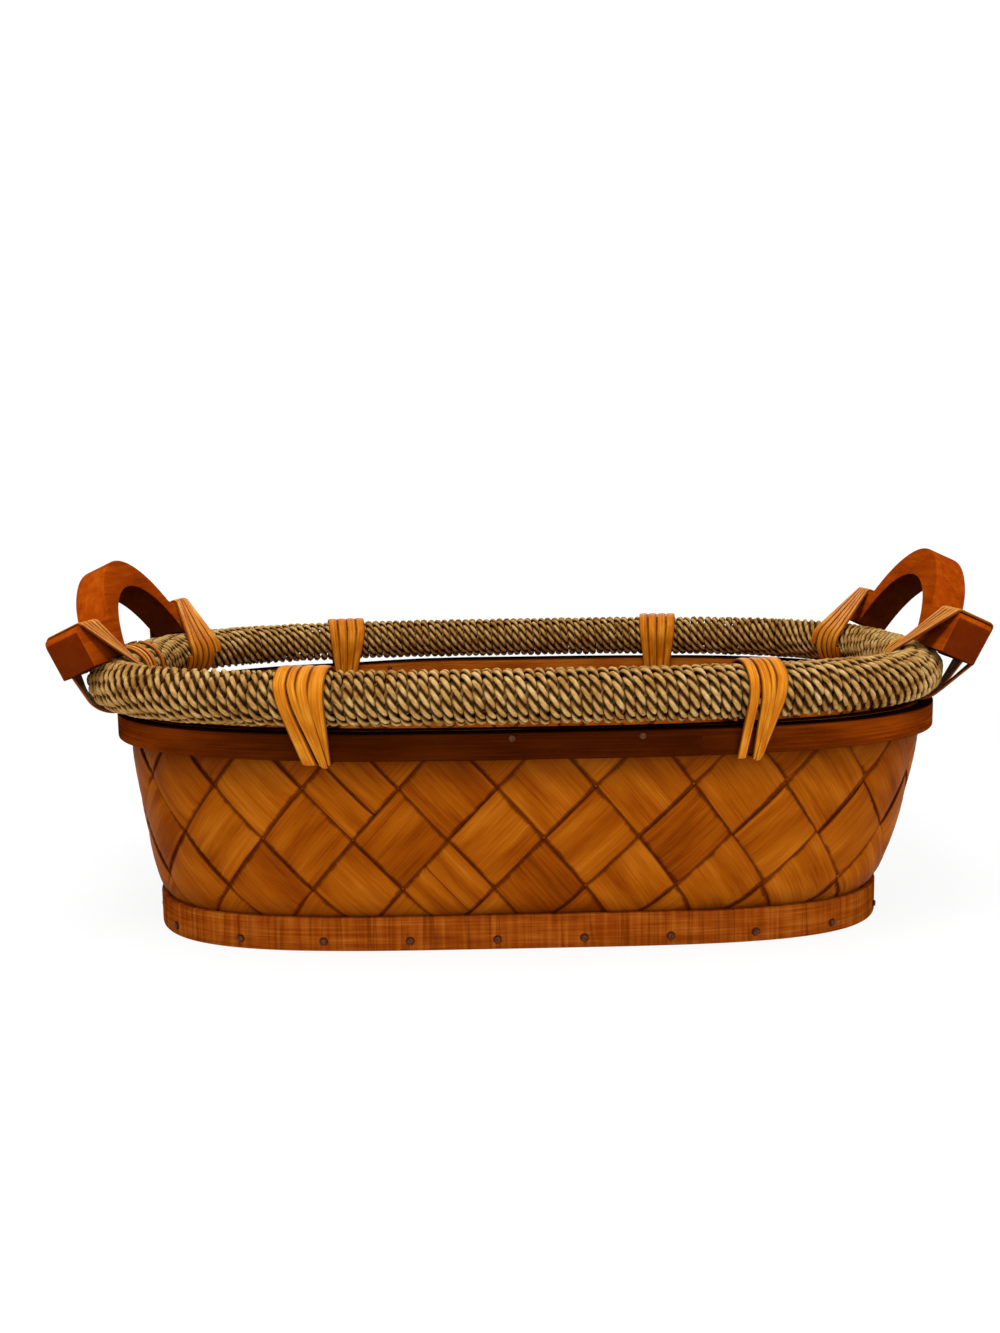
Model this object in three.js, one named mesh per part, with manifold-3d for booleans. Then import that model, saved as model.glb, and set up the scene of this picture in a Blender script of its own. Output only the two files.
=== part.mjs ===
// Oval woodchip basket with two lashed wooden handles.
// A woven wall of wide wood strips is nailed between a base board and a bent-wood base band, and
// clamped at the top between two bent-wood bands. A hoop wound with seagrass cord is the rim, held
// down by four rattan ties, and each arched handle is lashed to it at both feet.
// Millimetres, +Z up. The origin is the middle of the underside, and +X runs along the basket.

import * as THREE from 'three';
import { mergeVertices } from 'three/addons/utils/BufferGeometryUtils.js';
import Module from 'manifold-3d';

const wasm = await Module();
wasm.setup();

// Plan and height of the whole basket
const RIM_HALF_LENGTH = 187.7;
const RIM_HALF_WIDTH = 122;
const RIM_OVAL_POWER = 3;
const BODY_TOP_SHIFT = 4.4;
const BASE_HALF_LENGTH = 168.4;
const BASE_HALF_WIDTH = 102.5;
const BASE_OVAL_POWER = 4;
const RIM_TOP_HEIGHT = 122.5;
const SEAT_GAP = 0.3;
const CUT_OVERRUN = 2;

// Base band, base board and their nails
const BASE_BAND_HEIGHT = 14.7;
const BASE_BAND_THICKNESS = 2.8;
const BOARD_THICKNESS = 8;
const BASE_NAIL_COUNT = 26;
const BASE_NAIL_HEIGHT = 4.4;
const BASE_NAIL_SHIFT = -11;
const BASE_NAIL_LENGTH = 13.5;
const BASE_SCARF_X = 40;

// Nails of both sizes have one head and shank
const NAIL_HEAD_RADIUS = 1.35;
const NAIL_HEAD_HEIGHT = 0.9;
const NAIL_CROWN = 0.3;
const NAIL_SHANK_RADIUS = 0.6;
const NAIL_POINT_LENGTH = 1.2;
const NAIL_HOLE_CLEARANCE = 0.25;

// Woven wall, two chips thick: strips cross at the diamond corners and bulge between them
const CHIP_THICKNESS = 1;
const WEAVE_BULGE_DEPTH = 0.55;
const WEAVE_COLUMNS = 52;
const WEAVE_SHIFT = -14.3;
const WEAVE_ROW_SHARES = [0.163, 0.481, 0.799];
const WALL_FOOT_HEIGHT = 0.6;
const WALL_FLARE_POWER = 0.65;

// Top bands either side of the weave
const TOP_BAND_HEIGHT = 11.5;
const RIM_BAND_GAP = 2;
const OUTER_BAND_REACH = 3.2;
const OUTER_BAND_THICKNESS = 5.5;
const INNER_BAND_THICKNESS = 4;
const OUTER_SCARF_X = 60;
const INNER_SCARF_X = -52;
const SCARF_LENGTH = 22;
const SCARF_GAP = 0.4;
const TOP_NAIL_DROP = 2.6;
const TOP_NAIL_LENGTH = 9.4;
const OUTER_NAIL_X = [-4.3, 47.2];
const INNER_NAIL_X = -72;

// Rim: a hoop core in a close winding, two turns of the real cord to each rib
const RIM_RADIUS = 11.5;
const CORE_RADIUS = 6.6;
const CORE_CLEARANCE = 0.45;
const CORD_DIAMETER = 4.2;
const RIB_COUNT = 128;
const RIB_DEPTH = 1.4;
const WINDING_OPENING = 2.4;

// Rattan strip of the ties and lashings
const STRIP_WIDTH = 3.8;
const STRIP_THICKNESS = 1.1;
const STRIP_PITCH = 4.6;
const TIE_TURNS = 4;
const TIE_X = { frontLeft: -85.5, frontRight: 94.5, backLeft: -97, backRight: 89.6 };
const TIE_SLOT_CLEARANCE = 0.6;
const TIE_SLACK = 0.2;
const LASHING_TURNS = 5;

// Handles: an arch on two feet, cut from plank
const HANDLE_THICKNESS = 15;
const HANDLE_HEIGHT = 46;
const HANDLE_FRONT_LENGTH = { left: 90, right: 88 };
const HANDLE_BACK_LENGTH = { left: 97, right: 94 };
const HANDLE_FOOT_HEIGHT = 18.4;
const HANDLE_ARCH_RADIUS = 62;
const HANDLE_ARCH_SHIFT = { left: 7, right: 5 };
const HANDLE_GRIP_THICKNESS = 14.4;
const HANDLE_OPENING_HALF_LENGTH = 52;
const HANDLE_FILLET_RADIUS = 8;
const HANDLE_CORNER_RADIUS = 4;
const HANDLE_EDGE = 2.4;
const HANDLE_LEAN_DEGREES = 25.3;
const HANDLE_INSET = 5.7;
const HANDLE_SHIFT = 4.5;
const HANDLE_SINK = 0.4;
const HANDLE_TWIST_DEGREES = { left: 0, right: -4.5 };
const LASHING_SETBACK = { front: 10, back: 1.6 };
const LASHING_BEND_CLEARANCE = 1.8;
const LASHING_BEND = 1;
const LASHING_FRONT_SHIFT = 17.4;
const LASHING_BACK_SHIFT = { left: 17.4, right: 26 };
const LASHING_SLANT = 0.5;

// How finely the faceted solids are cut
const BAND_STATIONS = 84;
const CORE_STATIONS = 48;
const CORE_SIDES = 6;
const RIB_SIDES = 8;
const SEAT_SIDES = 16;
const SEAT_STATIONS = 36;
const TIE_STEPS = 12;
const LASHING_STEPS = 12;
const NAIL_SIDES = 5;
const ARCH_SEGMENTS = 8;
const PATH_SAMPLES = 2880;
const BISECTIONS = 40;
const SETTLING_PASSES = 6;

// Heights and offsets that follow from the sizes above; offsets are from the rim's centre line
const RIM_HEIGHT = RIM_TOP_HEIGHT - RIM_RADIUS;
const BAND_TOP = RIM_HEIGHT - RIM_RADIUS - RIM_BAND_GAP;
const BAND_BOTTOM = BAND_TOP - TOP_BAND_HEIGHT;
const WALL_THICKNESS = 2 * CHIP_THICKNESS;
const OUTER_BAND_BACK = OUTER_BAND_REACH - OUTER_BAND_THICKNESS;
const WALL_TOP_FACE = OUTER_BAND_BACK - SEAT_GAP;
const WALL_TOP_BACK = WALL_TOP_FACE - WALL_THICKNESS;
const INNER_BAND_FACE = WALL_TOP_BACK - SEAT_GAP;
const INNER_BAND_BACK = INNER_BAND_FACE - INNER_BAND_THICKNESS;
const WALL_FLARE_START = BASE_BAND_HEIGHT + SEAT_GAP;
const WALL_FLARE_END = BAND_BOTTOM - SEAT_GAP;
const WALL_BASE_FACE = -BASE_BAND_THICKNESS - SEAT_GAP;
const BOARD_EDGE = WALL_BASE_FACE - WALL_THICKNESS - SEAT_GAP;
const STRIP_CLEAR = SEAT_GAP + STRIP_THICKNESS / 2;
const HANDLE_REACH = RIM_HALF_LENGTH - HANDLE_INSET;

// Each oval's shift is how far its middle lies along X; the body's top leans a little to the right
const rimOval = { length: RIM_HALF_LENGTH, width: RIM_HALF_WIDTH, square: RIM_OVAL_POWER, shift: 0 };
const baseOval = { length: BASE_HALF_LENGTH, width: BASE_HALF_WIDTH, square: BASE_OVAL_POWER, shift: 0 };
const topOval = { ...rimOval, shift: BODY_TOP_SHIFT };

const COLOURS = {
  chip: { color: 0x9a4c10, roughness: 0.5, metalness: 0 },
  band: { color: 0x8c3f10, roughness: 0.5, metalness: 0 },
  board: { color: 0xa0652c, roughness: 0.7, metalness: 0 },
  handle: { color: 0xae4508, roughness: 0.4, metalness: 0 },
  cord: { color: 0x957038, roughness: 0.8, metalness: 0 },
  rattan: { color: 0xc2781c, roughness: 0.35, metalness: 0 },
  core: { color: 0xa9824e, roughness: 0.8, metalness: 0 },
  nail: { color: 0x8a8078, roughness: 0.4, metalness: 0.8 },
};

// Oval plan curves

// Point of an oval at a polar angle, moved out along its normal by an offset
function ovalPoint(oval, angle, offset = 0) {
  const cos = Math.cos(angle);
  const sin = Math.sin(angle);
  const sum = Math.abs(cos / oval.length) ** oval.square + Math.abs(sin / oval.width) ** oval.square;
  const radius = sum ** (-1 / oval.square);
  const point = new THREE.Vector2(oval.shift + radius * cos, radius * sin);
  return point.addScaledVector(ovalNormal(oval, point), offset);
}

function ovalNormal(oval, point) {
  const power = oval.square - 1;
  const reach = point.x - oval.shift;
  const x = Math.sign(reach) * Math.abs(reach / oval.length) ** power / oval.length;
  const y = Math.sign(point.y) * Math.abs(point.y / oval.width) ** power / oval.width;
  return new THREE.Vector2(x, y).normalize();
}

// Polar angle where an oval passes a given x, at the front (side -1) or the back (side 1)
function angleAtX(oval, x, side) {
  const reach = x - oval.shift;
  const y = oval.width * (1 - Math.abs(reach / oval.length) ** oval.square) ** (1 / oval.square);
  return Math.atan2(side * y, reach);
}

// Distance along an oval from the middle of its front, and the angle at such a distance
function measuredPath(oval) {
  const step = 2 * Math.PI / PATH_SAMPLES;
  const distances = [0];
  for (let i = 1; i <= PATH_SAMPLES; i++) {
    const before = ovalPoint(oval, (i - 1) * step - Math.PI / 2);
    const after = ovalPoint(oval, i * step - Math.PI / 2);
    distances.push(distances[i - 1] + before.distanceTo(after));
  }
  const length = distances[PATH_SAMPLES];
  const angleAt = (distance) => {
    const wrapped = ((distance % length) + length) % length;
    let index = 1;
    while (distances[index] < wrapped) index++;
    const share = (wrapped - distances[index - 1]) / (distances[index] - distances[index - 1]);
    return (index - 1 + share) * step - Math.PI / 2;
  };
  const distanceAt = (angle) => {
    const turns = ((angle + Math.PI / 2) / (2 * Math.PI) + 1) % 1;
    const place = turns * PATH_SAMPLES;
    const index = Math.min(Math.floor(place), PATH_SAMPLES - 1);
    return distances[index] + (place - index) * (distances[index + 1] - distances[index]);
  };
  return { length, angleAt, distanceAt };
}

const rimPath = measuredPath(rimOval);
const basePath = measuredPath(baseOval);

// Evenly spaced polar angles round an oval, the first one shifted along it from the front middle
function evenAngles(path, count, shift = 0) {
  return Array.from({ length: count }, (_, i) => path.angleAt(shift + path.length * i / count));
}

const bandAngles = evenAngles(rimPath, BAND_STATIONS, WEAVE_SHIFT);
const weaveAngles = evenAngles(rimPath, WEAVE_COLUMNS, WEAVE_SHIFT);

// Frame of a place on an oval: its point, the way out, the way along, and up
function ovalFrame(oval, angle, height, offset = 0) {
  const point = ovalPoint(oval, angle, offset);
  const normal = ovalNormal(oval, ovalPoint(oval, angle));
  return {
    origin: new THREE.Vector3(point.x, point.y, height),
    out: new THREE.Vector3(normal.x, normal.y, 0),
    along: new THREE.Vector3(-normal.y, normal.x, 0),
    up: new THREE.Vector3(0, 0, 1),
  };
}

function frameMatrix(frame) {
  return new THREE.Matrix4().makeBasis(frame.along, frame.up, frame.out).setPosition(frame.origin);
}

// Closed meshes from points and triangles

function meshGeometry(points, triangles) {
  const geometry = new THREE.BufferGeometry();
  geometry.setAttribute('position', new THREE.Float32BufferAttribute(points.flatMap((p) => p.toArray()), 3));
  geometry.setIndex(triangles.flat());
  return geometry;
}

// Triangles between two closed rows of points, listed by their first index and count
function zipRows(lower, upper) {
  const triangles = [];
  let a = 0;
  let b = 0;
  while (a < lower.count || b < upper.count) {
    const nextA = (a + 1) / lower.count;
    const nextB = (b + 1) / upper.count;
    const low = lower.first + a % lower.count;
    const high = upper.first + b % upper.count;
    if (b === upper.count || (a < lower.count && nextA <= nextB)) {
      triangles.push([low, lower.first + (a + 1) % lower.count, high]);
      a++;
    } else {
      triangles.push([low, upper.first + (b + 1) % upper.count, high]);
      b++;
    }
  }
  return triangles;
}

// Triangles between two equal rows, with each quad split between the crossings of the weave
function weaveRows(lower, upper, row) {
  const triangles = [];
  for (let i = 0; i < lower.count; i++) {
    const next = (i + 1) % lower.count;
    const [a, b] = [lower.first + i, lower.first + next];
    const [c, d] = [upper.first + next, upper.first + i];
    if ((i + row) % 2 === 0) {
      triangles.push([a, b, c], [a, c, d]);
    } else {
      triangles.push([a, b, d], [b, c, d]);
    }
  }
  return triangles;
}

// Ring of equal sections, closed on itself
function ringGeometry(sections) {
  const sides = sections[0].length;
  const points = sections.flat();
  const triangles = [];
  sections.forEach((_, i) => {
    const here = i * sides;
    const next = ((i + 1) % sections.length) * sides;
    for (let k = 0; k < sides; k++) {
      const up = (k + 1) % sides;
      triangles.push([here + k, next + k, next + up], [here + k, next + up, here + up]);
    }
  });
  return meshGeometry(points, triangles);
}

// Bar through a row of equal sections, closed by a fan at both ends
function barGeometry(sections) {
  const sides = sections[0].length;
  const points = sections.flat();
  const last = (sections.length - 1) * sides;
  const triangles = [];
  for (let i = 0; i < sections.length - 1; i++) {
    for (let k = 0; k < sides; k++) {
      const up = (k + 1) % sides;
      const here = i * sides;
      const next = here + sides;
      triangles.push([here + k, next + k, next + up], [here + k, next + up, here + up]);
    }
  }
  for (let k = 1; k < sides - 1; k++) {
    triangles.push([0, k, k + 1], [last, last + k + 1, last + k]);
  }
  return meshGeometry(points, triangles);
}

// Solids for joining and cutting

function toSolid(geometry) {
  const bare = geometry.clone();
  bare.deleteAttribute('normal');
  bare.deleteAttribute('uv');
  const merged = mergeVertices(bare);
  const vertProperties = new Float32Array(merged.attributes.position.array);
  const triVerts = new Uint32Array(merged.index.array);
  return new wasm.Manifold(new wasm.Mesh({ numProp: 3, vertProperties, triVerts }));
}

function toGeometry(solid) {
  const mesh = solid.getMesh();
  const geometry = new THREE.BufferGeometry();
  geometry.setAttribute('position', new THREE.Float32BufferAttribute(mesh.vertProperties, 3));
  geometry.setIndex(Array.from(mesh.triVerts));
  return geometry;
}

function cutAway(geometry, cutters) {
  const solid = cutters.reduce((rest, cutter) => rest.subtract(toSolid(cutter)), toSolid(geometry));
  return toGeometry(solid);
}

function flatShaded(geometry) {
  const faceted = geometry.index ? geometry.toNonIndexed() : geometry;
  faceted.computeVertexNormals();
  return faceted;
}

function part(name, look, geometry) {
  const mesh = new THREE.Mesh(flatShaded(geometry), new THREE.MeshStandardMaterial(COLOURS[look]));
  mesh.name = name;
  return mesh;
}

// Nails

// Nail with its head's underside at the origin, pointing along -Z
function nailGeometry(length) {
  const profile = [
    new THREE.Vector2(0, -length),
    new THREE.Vector2(NAIL_SHANK_RADIUS, NAIL_POINT_LENGTH - length),
    new THREE.Vector2(NAIL_SHANK_RADIUS, 0),
    new THREE.Vector2(NAIL_HEAD_RADIUS, 0),
    new THREE.Vector2(NAIL_HEAD_RADIUS, NAIL_HEAD_HEIGHT - NAIL_CROWN),
    new THREE.Vector2(0, NAIL_HEAD_HEIGHT),
  ];
  return new THREE.LatheGeometry(profile, NAIL_SIDES).rotateX(Math.PI / 2);
}

// Hole for such a nail, from outside its head to past its point
function nailHole(length) {
  const side = 2 * (NAIL_SHANK_RADIUS + NAIL_HOLE_CLEARANCE);
  const depth = length + NAIL_HOLE_CLEARANCE + CUT_OVERRUN;
  return new THREE.BoxGeometry(side, side, depth).translate(0, 0, CUT_OVERRUN - depth / 2);
}

// Places of the nails, each with the matrix that carries a nail there
function baseNailPlaces() {
  return Array.from({ length: BASE_NAIL_COUNT }, (_, i) => {
    const angle = basePath.angleAt(BASE_NAIL_SHIFT + basePath.length * i / BASE_NAIL_COUNT);
    const frame = ovalFrame(baseOval, angle, BASE_NAIL_HEIGHT, SEAT_GAP);
    return { name: `base_nail_${i + 1}`, matrix: frameMatrix(frame), length: BASE_NAIL_LENGTH };
  });
}

function topNailPlace(name, x, side, offset, inward) {
  const frame = ovalFrame(topOval, angleAtX(topOval, x, side), BAND_TOP - TOP_NAIL_DROP, offset);
  if (!inward) {
    frame.out.negate();
    frame.along.negate();
  }
  return { name, matrix: frameMatrix(frame), length: TOP_NAIL_LENGTH };
}

function topNailPlaces() {
  const face = OUTER_BAND_REACH + SEAT_GAP;
  const back = INNER_BAND_BACK - SEAT_GAP;
  const outer = OUTER_NAIL_X.flatMap((x, i) => [
    topNailPlace(`outer_band_nail_front_${i + 1}`, x, -1, face, true),
    topNailPlace(`outer_band_nail_back_${i + 1}`, -x, 1, face, true),
  ]);
  return [
    ...outer,
    topNailPlace('inner_band_nail_back', INNER_NAIL_X, 1, back, false),
    topNailPlace('inner_band_nail_front', -INNER_NAIL_X, -1, back, false),
  ];
}

function holesFor(places) {
  return places.map((place) => nailHole(place.length).applyMatrix4(place.matrix));
}

// Bands

// Upright strip bent round an oval between two offsets and two heights
function bandGeometry(oval, face, back, bottom, top) {
  const sections = bandAngles.map((angle) => {
    const outer = ovalPoint(oval, angle, face);
    const inner = ovalPoint(oval, angle, back);
    return [
      new THREE.Vector3(inner.x, inner.y, bottom),
      new THREE.Vector3(outer.x, outer.y, bottom),
      new THREE.Vector3(outer.x, outer.y, top),
      new THREE.Vector3(inner.x, inner.y, top),
    ];
  });
  return ringGeometry(sections);
}

// Thin slanted cut where the two ends of a band lap each other
function scarfCut(oval, x, side, face, back, bottom, top) {
  const middle = (face + back) / 2;
  const thickness = face - back;
  const frame = ovalFrame(oval, angleAtX(oval, x, side), (bottom + top) / 2, middle);
  const length = Math.hypot(SCARF_LENGTH, thickness) * (1 + CUT_OVERRUN / thickness);
  const slab = new THREE.BoxGeometry(length, top - bottom + 2 * CUT_OVERRUN, SCARF_GAP);
  slab.rotateY(Math.atan2(thickness, SCARF_LENGTH));
  return slab.applyMatrix4(frameMatrix(frame));
}

function baseBand(holes) {
  const face = 0;
  const back = -BASE_BAND_THICKNESS;
  const band = bandGeometry(baseOval, face, back, 0, BASE_BAND_HEIGHT);
  const scarf = scarfCut(baseOval, BASE_SCARF_X, 1, face, back, 0, BASE_BAND_HEIGHT);
  return cutAway(band, [scarf, ...holes]);
}

function outerTopBand(holes) {
  const size = [OUTER_BAND_REACH, OUTER_BAND_BACK, BAND_BOTTOM, BAND_TOP];
  return cutAway(bandGeometry(topOval, ...size), [scarfCut(topOval, OUTER_SCARF_X, -1, ...size), ...holes]);
}

function innerTopBand(holes) {
  const size = [INNER_BAND_FACE, INNER_BAND_BACK, BAND_BOTTOM, BAND_TOP];
  return cutAway(bandGeometry(topOval, ...size), [scarfCut(topOval, INNER_SCARF_X, 1, ...size), ...holes]);
}

function baseBoard(holes) {
  const outline = new THREE.Shape(bandAngles.map((angle) => ovalPoint(baseOval, angle, BOARD_EDGE)));
  const plate = new THREE.ExtrudeGeometry(outline, { depth: BOARD_THICKNESS, bevelEnabled: false });
  return cutAway(plate, holes);
}

// Woven wall

// Oval of the wall at a height: steep above the base band, easing to upright below the top bands
function wallOval(height) {
  const rise = (height - WALL_FLARE_START) / (WALL_FLARE_END - WALL_FLARE_START);
  const flare = THREE.MathUtils.clamp(rise, 0, 1) ** WALL_FLARE_POWER;
  return {
    length: THREE.MathUtils.lerp(BASE_HALF_LENGTH, RIM_HALF_LENGTH, flare),
    width: THREE.MathUtils.lerp(BASE_HALF_WIDTH, RIM_HALF_WIDTH, flare),
    square: THREE.MathUtils.lerp(BASE_OVAL_POWER, RIM_OVAL_POWER, flare),
    shift: THREE.MathUtils.lerp(baseOval.shift, topOval.shift, flare),
    face: THREE.MathUtils.lerp(WALL_BASE_FACE, WALL_TOP_FACE, flare),
  };
}

// One level row of the wall's face or back; a woven row dips at its crossings and bulges between
function wallRow(height, side, weaveRow) {
  const oval = wallOval(height);
  const woven = weaveRow !== null;
  const base = side > 0 ? oval.face : oval.face - WALL_THICKNESS;
  return (woven ? weaveAngles : bandAngles).map((angle, i) => {
    const bulge = (i + weaveRow) % 2 === 0 ? -WEAVE_BULGE_DEPTH : WEAVE_BULGE_DEPTH;
    const point = ovalPoint(oval, angle, base + (woven ? side * bulge : 0));
    return new THREE.Vector3(point.x, point.y, height);
  });
}

function wovenWall(cutters) {
  const rowHeights = WEAVE_ROW_SHARES.map((share) =>
    THREE.MathUtils.lerp(WALL_FLARE_START, WALL_FLARE_END, share));
  const levels = [
    { height: WALL_FOOT_HEIGHT, weaveRow: null },
    { height: WALL_FLARE_START, weaveRow: null },
    ...rowHeights.map((height, i) => ({ height, weaveRow: i })),
    { height: WALL_FLARE_END, weaveRow: null },
    { height: BAND_TOP, weaveRow: null },
  ];
  const face = levels.map((level) => ({ ...level, side: 1 }));
  const back = levels.map((level) => ({ ...level, side: -1 })).reverse();
  const points = [];
  const rows = [...face, ...back].map((level) => {
    const row = wallRow(level.height, level.side, level.weaveRow);
    const first = points.length;
    points.push(...row);
    return { first, count: row.length, level };
  });
  const triangles = rows.flatMap((row, i) => {
    const next = rows[(i + 1) % rows.length];
    const bothWoven = row.level.weaveRow !== null && next.level.weaveRow !== null;
    return bothWoven ? weaveRows(row, next, row.level.weaveRow) : zipRows(row, next);
  });
  return cutAway(meshGeometry(points, triangles), cutters);
}

// Rim

// Point on a tube round the rim's centre line: a distance along, an angle round and a radius
function rimTubePoint(distance, turn, radius) {
  const frame = ovalFrame(rimOval, rimPath.angleAt(distance), RIM_HEIGHT);
  return frame.origin
    .addScaledVector(frame.out, radius * Math.cos(turn))
    .addScaledVector(frame.up, radius * Math.sin(turn));
}

function rimCircle(distance, radius, sides) {
  return Array.from({ length: sides }, (_, k) => rimTubePoint(distance, 2 * Math.PI * k / sides, radius));
}

// The winding's opening is under the tie at the back left, and the core's stations start there
const openingDistance = rimPath.distanceAt(angleAtX(rimOval, TIE_X.backLeft, 1));

function rimCore() {
  const sections = Array.from({ length: CORE_STATIONS }, (_, i) =>
    rimCircle(openingDistance + rimPath.length * i / CORE_STATIONS, CORE_RADIUS, CORE_SIDES));
  return ringGeometry(sections);
}

// Ribbed sleeve: its ribs climb round the tube like the cord, and its ends are plain for one cord
function rimWinding() {
  const start = openingDistance + WINDING_OPENING / 2;
  const length = rimPath.length - WINDING_OPENING;
  const ribbed = length - 2 * CORD_DIAMETER;
  const pitch = ribbed / (RIB_COUNT + 1);
  const valley = RIM_RADIUS - RIB_DEPTH;
  const points = rimCircle(start, valley, RIB_SIDES);
  const rings = 2 * RIB_COUNT;
  for (let ring = 0; ring < rings; ring++) {
    const radius = ring % 2 === 0 ? valley : RIM_RADIUS;
    for (let k = 0; k < RIB_SIDES; k++) {
      const distance = start + CORD_DIAMETER + pitch * (ring / 2 + k / RIB_SIDES);
      points.push(rimTubePoint(distance, 2 * Math.PI * k / RIB_SIDES, radius));
    }
  }
  points.push(...rimCircle(start + length, valley, RIB_SIDES));
  const ringPoint = (ring, k) => RIB_SIDES * (ring + 1) + k;
  const triangles = [];
  const quad = (a, b, c, d) => triangles.push([a, b, c], [a, c, d]);
  const last = RIB_SIDES - 1;
  for (let ring = 0; ring < rings - 1; ring++) {
    for (let k = 0; k < last; k++) {
      quad(ringPoint(ring, k), ringPoint(ring, k + 1), ringPoint(ring + 1, k + 1), ringPoint(ring + 1, k));
    }
  }
  for (let ring = 0; ring < rings - 3; ring++) {
    quad(ringPoint(ring, last), ringPoint(ring + 2, 0), ringPoint(ring + 3, 0), ringPoint(ring + 1, last));
  }
  const closing = ringPoint(rings, 0);
  for (let k = 0; k < last; k++) {
    quad(k, k + 1, ringPoint(0, k + 1), ringPoint(0, k));
    quad(ringPoint(rings - 1, k), ringPoint(rings - 1, k + 1), closing + k + 1, closing + k);
  }
  triangles.push([last, 0, ringPoint(0, last)], [ringPoint(0, last), 0, ringPoint(2, 0)]);
  triangles.push([ringPoint(2, 0), 0, ringPoint(1, 0)], [ringPoint(1, 0), 0, ringPoint(0, 0)]);
  triangles.push([closing + last, ringPoint(rings - 1, last), closing]);
  triangles.push([closing, ringPoint(rings - 1, last), ringPoint(rings - 2, last)]);
  triangles.push([closing, ringPoint(rings - 2, last), ringPoint(rings - 3, last)]);
  triangles.push([closing, ringPoint(rings - 3, last), ringPoint(rings - 1, 0)]);
  return flipped(withBore(points, triangles, start, length, closing));
}

// Adds the bore that the core lies in, and the flat rings that join it to the sleeve's two ends
function withBore(points, triangles, start, length, closing) {
  const radius = CORE_RADIUS + CORE_CLEARANCE;
  const first = points.length;
  for (let i = 0; i <= CORE_STATIONS; i++) {
    const even = openingDistance + rimPath.length * i / CORE_STATIONS;
    const distance = THREE.MathUtils.clamp(even, start, start + length);
    points.push(...rimCircle(distance, radius, CORE_SIDES));
  }
  const end = first + CORE_STATIONS * CORE_SIDES;
  for (let i = 0; i < CORE_STATIONS; i++) {
    for (let k = 0; k < CORE_SIDES; k++) {
      const here = first + i * CORE_SIDES;
      const next = here + CORE_SIDES;
      const up = (k + 1) % CORE_SIDES;
      triangles.push([here + k, next + up, here + up], [here + k, next + k, next + up]);
    }
  }
  const startFace = zipRows({ first: 0, count: RIB_SIDES }, { first, count: CORE_SIDES });
  const endFace = zipRows({ first: closing, count: RIB_SIDES }, { first: end, count: CORE_SIDES });
  triangles.push(...startFace.map(([a, b, c]) => [a, c, b]), ...endFace);
  return meshGeometry(points, triangles);
}

// Strips wound round several pieces

// Where a strip touches a shape that faces one way; a shape is a circle or a flattened one
function contactOn(shape, direction, grow) {
  const across = (shape.across + STRIP_CLEAR) * grow;
  const upright = (shape.upright + STRIP_CLEAR) * grow;
  const size = Math.hypot(across * direction.x, upright * direction.y);
  const x = shape.centre.x + across * across * direction.x / size;
  const y = shape.centre.y + upright * upright * direction.y / size;
  return { shape, point: new THREE.Vector2(x, y), reach: shape.centre.dot(direction) + size };
}

// Which of the wrapped shapes lies furthest out in one direction
function outermostIndex(shapes, direction, grow) {
  const reaches = shapes.map((shape) => contactOn(shape, direction, grow).reach);
  return reaches.indexOf(Math.max(...reaches));
}

// Strip wound in even turns round shapes that may change along the way; toSpace places a point.
// It bends at even steps, and at the angles that square corners face
function woundStrip(turns, evenSteps, cornerAngles, start, shapesAt, toSpace) {
  const grow = 1 / Math.cos(Math.PI / evenSteps);
  const evenTurns = Array.from({ length: evenSteps }, (_, i) => 2 * Math.PI * i / evenSteps);
  const turnFrom = (angle) => THREE.MathUtils.euclideanModulo(angle - Math.PI, 2 * Math.PI);
  const cornerTurns = cornerAngles.map(turnFrom);
  const directions = [...evenTurns, ...cornerTurns].sort((a, b) => a - b).map((turn) =>
    new THREE.Vector2(Math.cos(Math.PI + turn), Math.sin(Math.PI + turn)));
  const steps = directions.length;
  const outermost = (along, direction) => outermostIndex(shapesAt(along), direction, grow);
  const contact = (along, direction, index) => {
    const contacts = shapesAt(along).map((shape) => contactOn(shape, direction, grow));
    const furthest = Math.max(...contacts.map((one) => one.reach));
    contacts[index].point.addScaledVector(direction, furthest - contacts[index].reach);
    return contacts[index];
  };
  const route = [];
  for (let turn = 0; turn <= turns; turn++) {
    const turnStart = start + STRIP_PITCH * turn;
    let places = directions.map(() => turnStart);
    for (let pass = 0; pass < SETTLING_PASSES; pass++) {
      const loop = directions.map((direction, i) =>
        contact(places[i], direction, outermost(places[i], direction)).point);
      const lengths = [0];
      loop.forEach((point, i) => lengths.push(lengths[i] + point.distanceTo(loop[(i + 1) % steps])));
      places = directions.map((_, i) => turnStart + STRIP_PITCH * lengths[i] / lengths[steps]);
    }
    const used = turn < turns ? steps : 1;
    directions.slice(0, used).forEach((direction, i) =>
      route.push({ along: places[i], direction, index: outermost(places[i], direction), tail: 0 }));
  }
  route.unshift({ ...route[0], tail: -STRIP_WIDTH });
  route.push({ ...route[route.length - 1], tail: STRIP_WIDTH });
  const corners = [[-1, -1], [1, -1], [1, 1], [-1, 1]];
  const sections = route.map(({ along, direction, index, tail }) => corners.map(([side, face]) => {
    const place = along + side * STRIP_WIDTH / 2;
    const straight = new THREE.Vector2(-direction.y, direction.x);
    const { point, shape } = contact(place, direction, index);
    point.addScaledVector(straight, tail).addScaledVector(direction, face * STRIP_THICKNESS / 2);
    return toSpace(place, point, shape);
  }));
  return { geometry: barGeometry(sections), sections, steps };
}

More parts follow.
